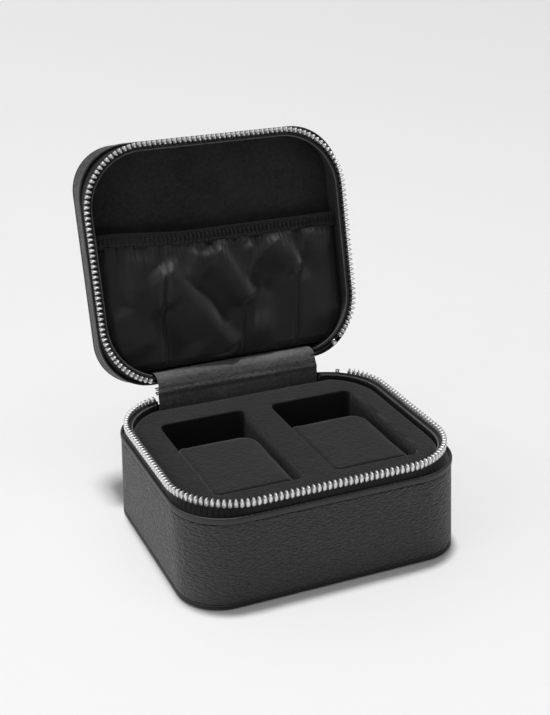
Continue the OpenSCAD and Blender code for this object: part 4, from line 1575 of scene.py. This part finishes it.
class CASE_OT_pocket(bpy.types.Operator):
    """Make the gathered pocket, its elastic band and its stitches"""

    bl_idname = "case.pocket"
    bl_label = "Pocket"

    def execute(self, context):
        cloth = grid_sheet("pocket_gathered", 300, 130, pocket_surface, -0.5 * MM, "cloth", OPENED)
        set_on(cloth, "lid", "pocket_fabric", "pocket_cloth")
        band = grid_sheet("pocket_band", 640, 26, elastic_surface, -0.55 * MM, "elastic", OPENED)
        sewn_on = [set_on(band, "lid", "elastic", "pocket_elastic")]
        pitch = sizes().ruffle_pitch
        count = round(2 * side_at(mouth_at(0)) / pitch)
        for index, v in enumerate(BAND_ROWS):
            stitch = stitch_piece(pitch, BAND_THREAD)
            stitch.data.transform(Matrix.Rotation(math.pi / 2, 4, "Y"))
            name = f"band_stitches_{index + 1}"
            row = row_along(name, band_line(v), count, stitch, "band_thread", BAND_UNEVEN, OPENED)
            sewn_on.append(set_on(row, "lid", "elastic"))
        return {"FINISHED"}


# ---- Hinge ----

# How far in from the lid's back the flap and the spine are sewn (mm)
FLAP_INSET = 4.9
SPINE_INSET = 0.9


def path_point(points, t):
    """A place on a smooth line through points, t from 0 to 1."""
    count = len(points) - 1
    at = min(max(t, 0.0), 1.0) * count
    i = min(int(at), count - 1)
    f = at - i
    p = [Vector(points[max(0, min(count, k))]) for k in (i - 1, i, i + 1, i + 2)]
    a = 2 * p[1]
    b = p[2] - p[0]
    c = 2 * p[0] - 5 * p[1] + 4 * p[2] - p[3]
    d = 3 * p[1] - p[0] - 3 * p[2] + p[3]
    return 0.5 * (a + b * f + c * f * f + d * f**3)


def flap_path():
    """Section of the open flap, (y, z) in mm: up the back wall, creased at the hinge, onto the lid."""
    y0, top, rim = FLAP[0].y / MM + 0.35, FLAP[1].z / MM, BASE_TOP / MM
    ay, az = AXIS.y / MM, AXIS.z / MM
    heights = (LID_EDGE + 0.8 * MM, LID_EDGE + 4.3 * MM, LID_EDGE + 7.8 * MM, LINING[0].z - 0.4 * MM)
    on_lid = [in_lid(FLAP_INSET, z) for z in heights]
    return [
        (y0, FLAP[0].z / MM + 1),
        (y0, rim - 6.8),
        (y0 + 0.1, rim + 0.7),
        (y0 - 0.15, rim + 3.4),
        (y0, rim + 6.0),
        (y0 + 0.6, rim + 8.2),
        (y0 + 0.35, rim + 10.2),
        (y0 + 1.0, top - 0.2),
        (y0 + 1.7, top + 2.3),
        (ay - 0.9, az + 3.9),
        (on_lid[0][0] + 0.2, on_lid[0][1] + 0.35),
        (on_lid[1][0], on_lid[1][1] + 0.5),
        (on_lid[2][0], on_lid[2][1] + 0.1),
        on_lid[3],
    ]


def in_lid(inset, level):
    """Where the open lid has what lies that far in from the back, at that level, when shut: (y, z) in mm."""
    at = OPENED @ Vector((0, HALF_D - inset * MM, level))
    return (at.y / MM, at.z / MM)


def flap_surface(u, v):
    """Face of the flap: its creases wander across its width."""
    x = (2 * u - 1) * FLAP[1].x
    middle = math.sin(math.pi * v)
    drift = 0.018 * lump(x * 28, v * 2.0, 5.0)
    y, z = path_point(flap_path(), v + drift * middle)
    soft = 0.22 * lump(x * 45, v * 9, 8.0) * middle
    waist = 1 - 0.012 * smoothstep(0.45, 0.62, v)
    return (x * waist, (y - soft) * MM, (z + soft) * MM)


def spine_path():
    """Section of the open spine, (y, z) in mm: up behind the binding, over the fold and into the lid."""
    rim = BASE_TOP / MM
    return [
        (63.95, BOARD_TOP / MM + 0.4),
        (64.0, rim + 0.2),
        (64.25, rim + 3.7),
        (64.2, rim + 7.2),
        (64.1, rim + 10.4),
        (64.35, rim + 12.4),
        (AXIS.y / MM + 0.1, AXIS.z / MM + 0.45),
        in_lid(SPINE_INSET, LID_EDGE + 0.7 * MM),
        in_lid(SPINE_INSET, LID_EDGE + 3.1 * MM),
    ]


def spine_surface(u, v):
    """Outer face of the leather spine."""
    x = (2 * u - 1) * SPINE[1].x
    y, z = path_point(spine_path(), v)
    soft = 0.12 * lump(x * 60, v * 6, 3.0) * math.sin(math.pi * v)
    return (x, (y + soft) * MM, z * MM)


class CASE_OT_hinge(bpy.types.Operator):
    """Make the suede flap inside the hinge and the leather spine outside it"""

    bl_idname = "case.hinge"
    bl_label = "Hinge"

    def execute(self, context):
        # The flap's pale suede is painted light: it stands in for light the flap, shaded by the lid, hardly
        # gets
        flap = grid_sheet("hinge_suede", 150, 96, flap_surface, -0.7 * MM, "flap")
        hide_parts("hinge_flap")
        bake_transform(flap)
        spine = grid_sheet("hinge_leather", 90, 48, spine_surface, 0.7 * MM, "leather")
        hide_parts("hinge_spine")
        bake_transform(spine)
        return {"FINISHED"}


# ---- Stage: floor, light and camera ----

# Half of the floor's side (metres)
FLOOR_HALF = 6.0
# Far soft lights: direction they come from, strength, and spread in degrees
LIGHTS = {
    "high_behind": ((0.0, 0.13, 1.0), 2.45, 7),
    "soft_front": ((0.2, -0.35, 1.0), 0.35, 50),
    "low_left": ((-1.0, -0.1, 0.16), 0.45, 60),
}
# The room: the direction in which it is brightest, how the brightness goes along it, and its strength
ROOM_LEAN = (-0.85, 0.4, -0.1)
ROOM_RAMP = (("From Min", -0.5), ("From Max", 0.9), ("To Min", 0.18), ("To Max", 1.0))
ROOM_STRENGTH = 0.5
# The camera: its place and what it looks at (metres), roll (degrees), lens and sensor (mm), and picture shift
CAMERA_PLACE = Vector((-0.23616, -0.54941, 0.35020))
CAMERA_AIM = Vector((0.02112, 0.0306, 0.06798))
CAMERA_ROLL = -0.18
CAMERA = {
    "sensor_fit": "AUTO", "sensor_width": 36.0, "lens": 64.98, "shift_x": -0.0295, "shift_y": 0.0304,
    "clip_start": 0.01, "clip_end": 20,
}


def far_light(name, from_where, strength, spread):
    """A far soft light, so that the floor is lit evenly."""
    data = bpy.data.lights.new(name, "SUN")
    data.energy = strength
    data.angle = math.radians(spread)
    light = bpy.data.objects.new(name, data)
    bpy.context.scene.collection.objects.link(light)
    light.rotation_euler = (-Vector(from_where)).to_track_quat("-Z", "Y").to_euler()


def soft_room():
    """A pale room: brightest low on the left and behind the case, dimmest on the opposite side."""
    world = bpy.data.worlds.new("soft_room")
    world.use_nodes = True
    tree = world.node_tree
    sky = tree.nodes["Background"]
    way = tree.nodes.new("ShaderNodeTexCoord")
    lean = tree.nodes.new("ShaderNodeVectorMath")
    lean.operation = "DOT_PRODUCT"
    lean.inputs[1].default_value = Vector(ROOM_LEAN).normalized()
    ramp = tree.nodes.new("ShaderNodeMapRange")
    ramp.interpolation_type = "SMOOTHSTEP"
    for socket, value in ROOM_RAMP:
        ramp.inputs[socket].default_value = value
    tree.links.new(way.outputs["Generated"], lean.inputs[0])
    tree.links.new(lean.outputs["Value"], ramp.inputs["Value"])
    tree.links.new(ramp.outputs["Result"], sky.inputs["Color"])
    sky.inputs["Strength"].default_value = ROOM_STRENGTH
    return world


class CASE_OT_stage(bpy.types.Operator):
    """Make the pale floor, the soft lights and the camera"""

    bl_idname = "case.stage"
    bl_label = "Stage"

    def execute(self, context):
        scene = context.scene
        mesh = bpy.data.meshes.new("stage_floor")
        corners = [(x * FLOOR_HALF, y * FLOOR_HALF, 0) for x, y in ((-1, -1), (1, -1), (1, 1), (-1, 1))]
        mesh.from_pydata(corners, [], [(0, 1, 2, 3)])
        new_piece("stage_floor", mesh, "floor", smooth=False)
        scene.world = soft_room()
        for name, light in LIGHTS.items():
            far_light(name, *light)
        camera_data = bpy.data.cameras.new("camera")
        for key, value in CAMERA.items():
            setattr(camera_data, key, value)
        camera = bpy.data.objects.new("camera", camera_data)
        scene.collection.objects.link(camera)
        turn = (CAMERA_AIM - CAMERA_PLACE).to_track_quat("-Z", "Y").to_matrix().to_4x4()
        roll = Matrix.Rotation(math.radians(CAMERA_ROLL), 4, "Z")
        camera.matrix_world = Matrix.Translation(CAMERA_PLACE) @ turn @ roll
        scene.camera = camera
        scene.view_settings.view_transform = "Standard"
        return {"FINISHED"}


# ---- Panel and run ----


STEPS = (
    CASE_OT_leather,
    CASE_OT_zip,
    CASE_OT_lining,
    CASE_OT_insert,
    CASE_OT_pocket,
    CASE_OT_hinge,
    CASE_OT_stage,
)


class CASE_PT_sidebar(bpy.types.Panel):
    """Lists the case's pieces, sizes and colours"""

    bl_label = "Watch Travel Case"
    bl_idname = "CASE_PT_sidebar"
    bl_space_type = "VIEW_3D"
    bl_region_type = "UI"
    bl_category = "Travel Case"

    def draw(self, context):
        layout = self.layout
        for step in STEPS:
            layout.operator(step.bl_idname)
        for group in (context.scene.case_sizes, context.scene.case_colours):
            box = layout.box()
            for name in group.__annotations__:
                box.prop(group, name)


CLASSES = (CaseSizes, CaseColours, *STEPS, CASE_PT_sidebar)


def register():
    for cls in CLASSES:
        bpy.utils.register_class(cls)
    bpy.types.Scene.case_sizes = PointerProperty(type=CaseSizes)
    bpy.types.Scene.case_colours = PointerProperty(type=CaseColours)


def unregister():
    del bpy.types.Scene.case_colours
    del bpy.types.Scene.case_sizes
    for cls in reversed(CLASSES):
        bpy.utils.unregister_class(cls)


def main():
    register()
    bpy.ops.case.stage()
    bpy.ops.case.leather()
    bpy.ops.case.zip()
    bpy.ops.case.lining()
    bpy.ops.case.insert()
    bpy.ops.case.pocket()
    bpy.ops.case.hinge()


if __name__ == "__main__":
    main()
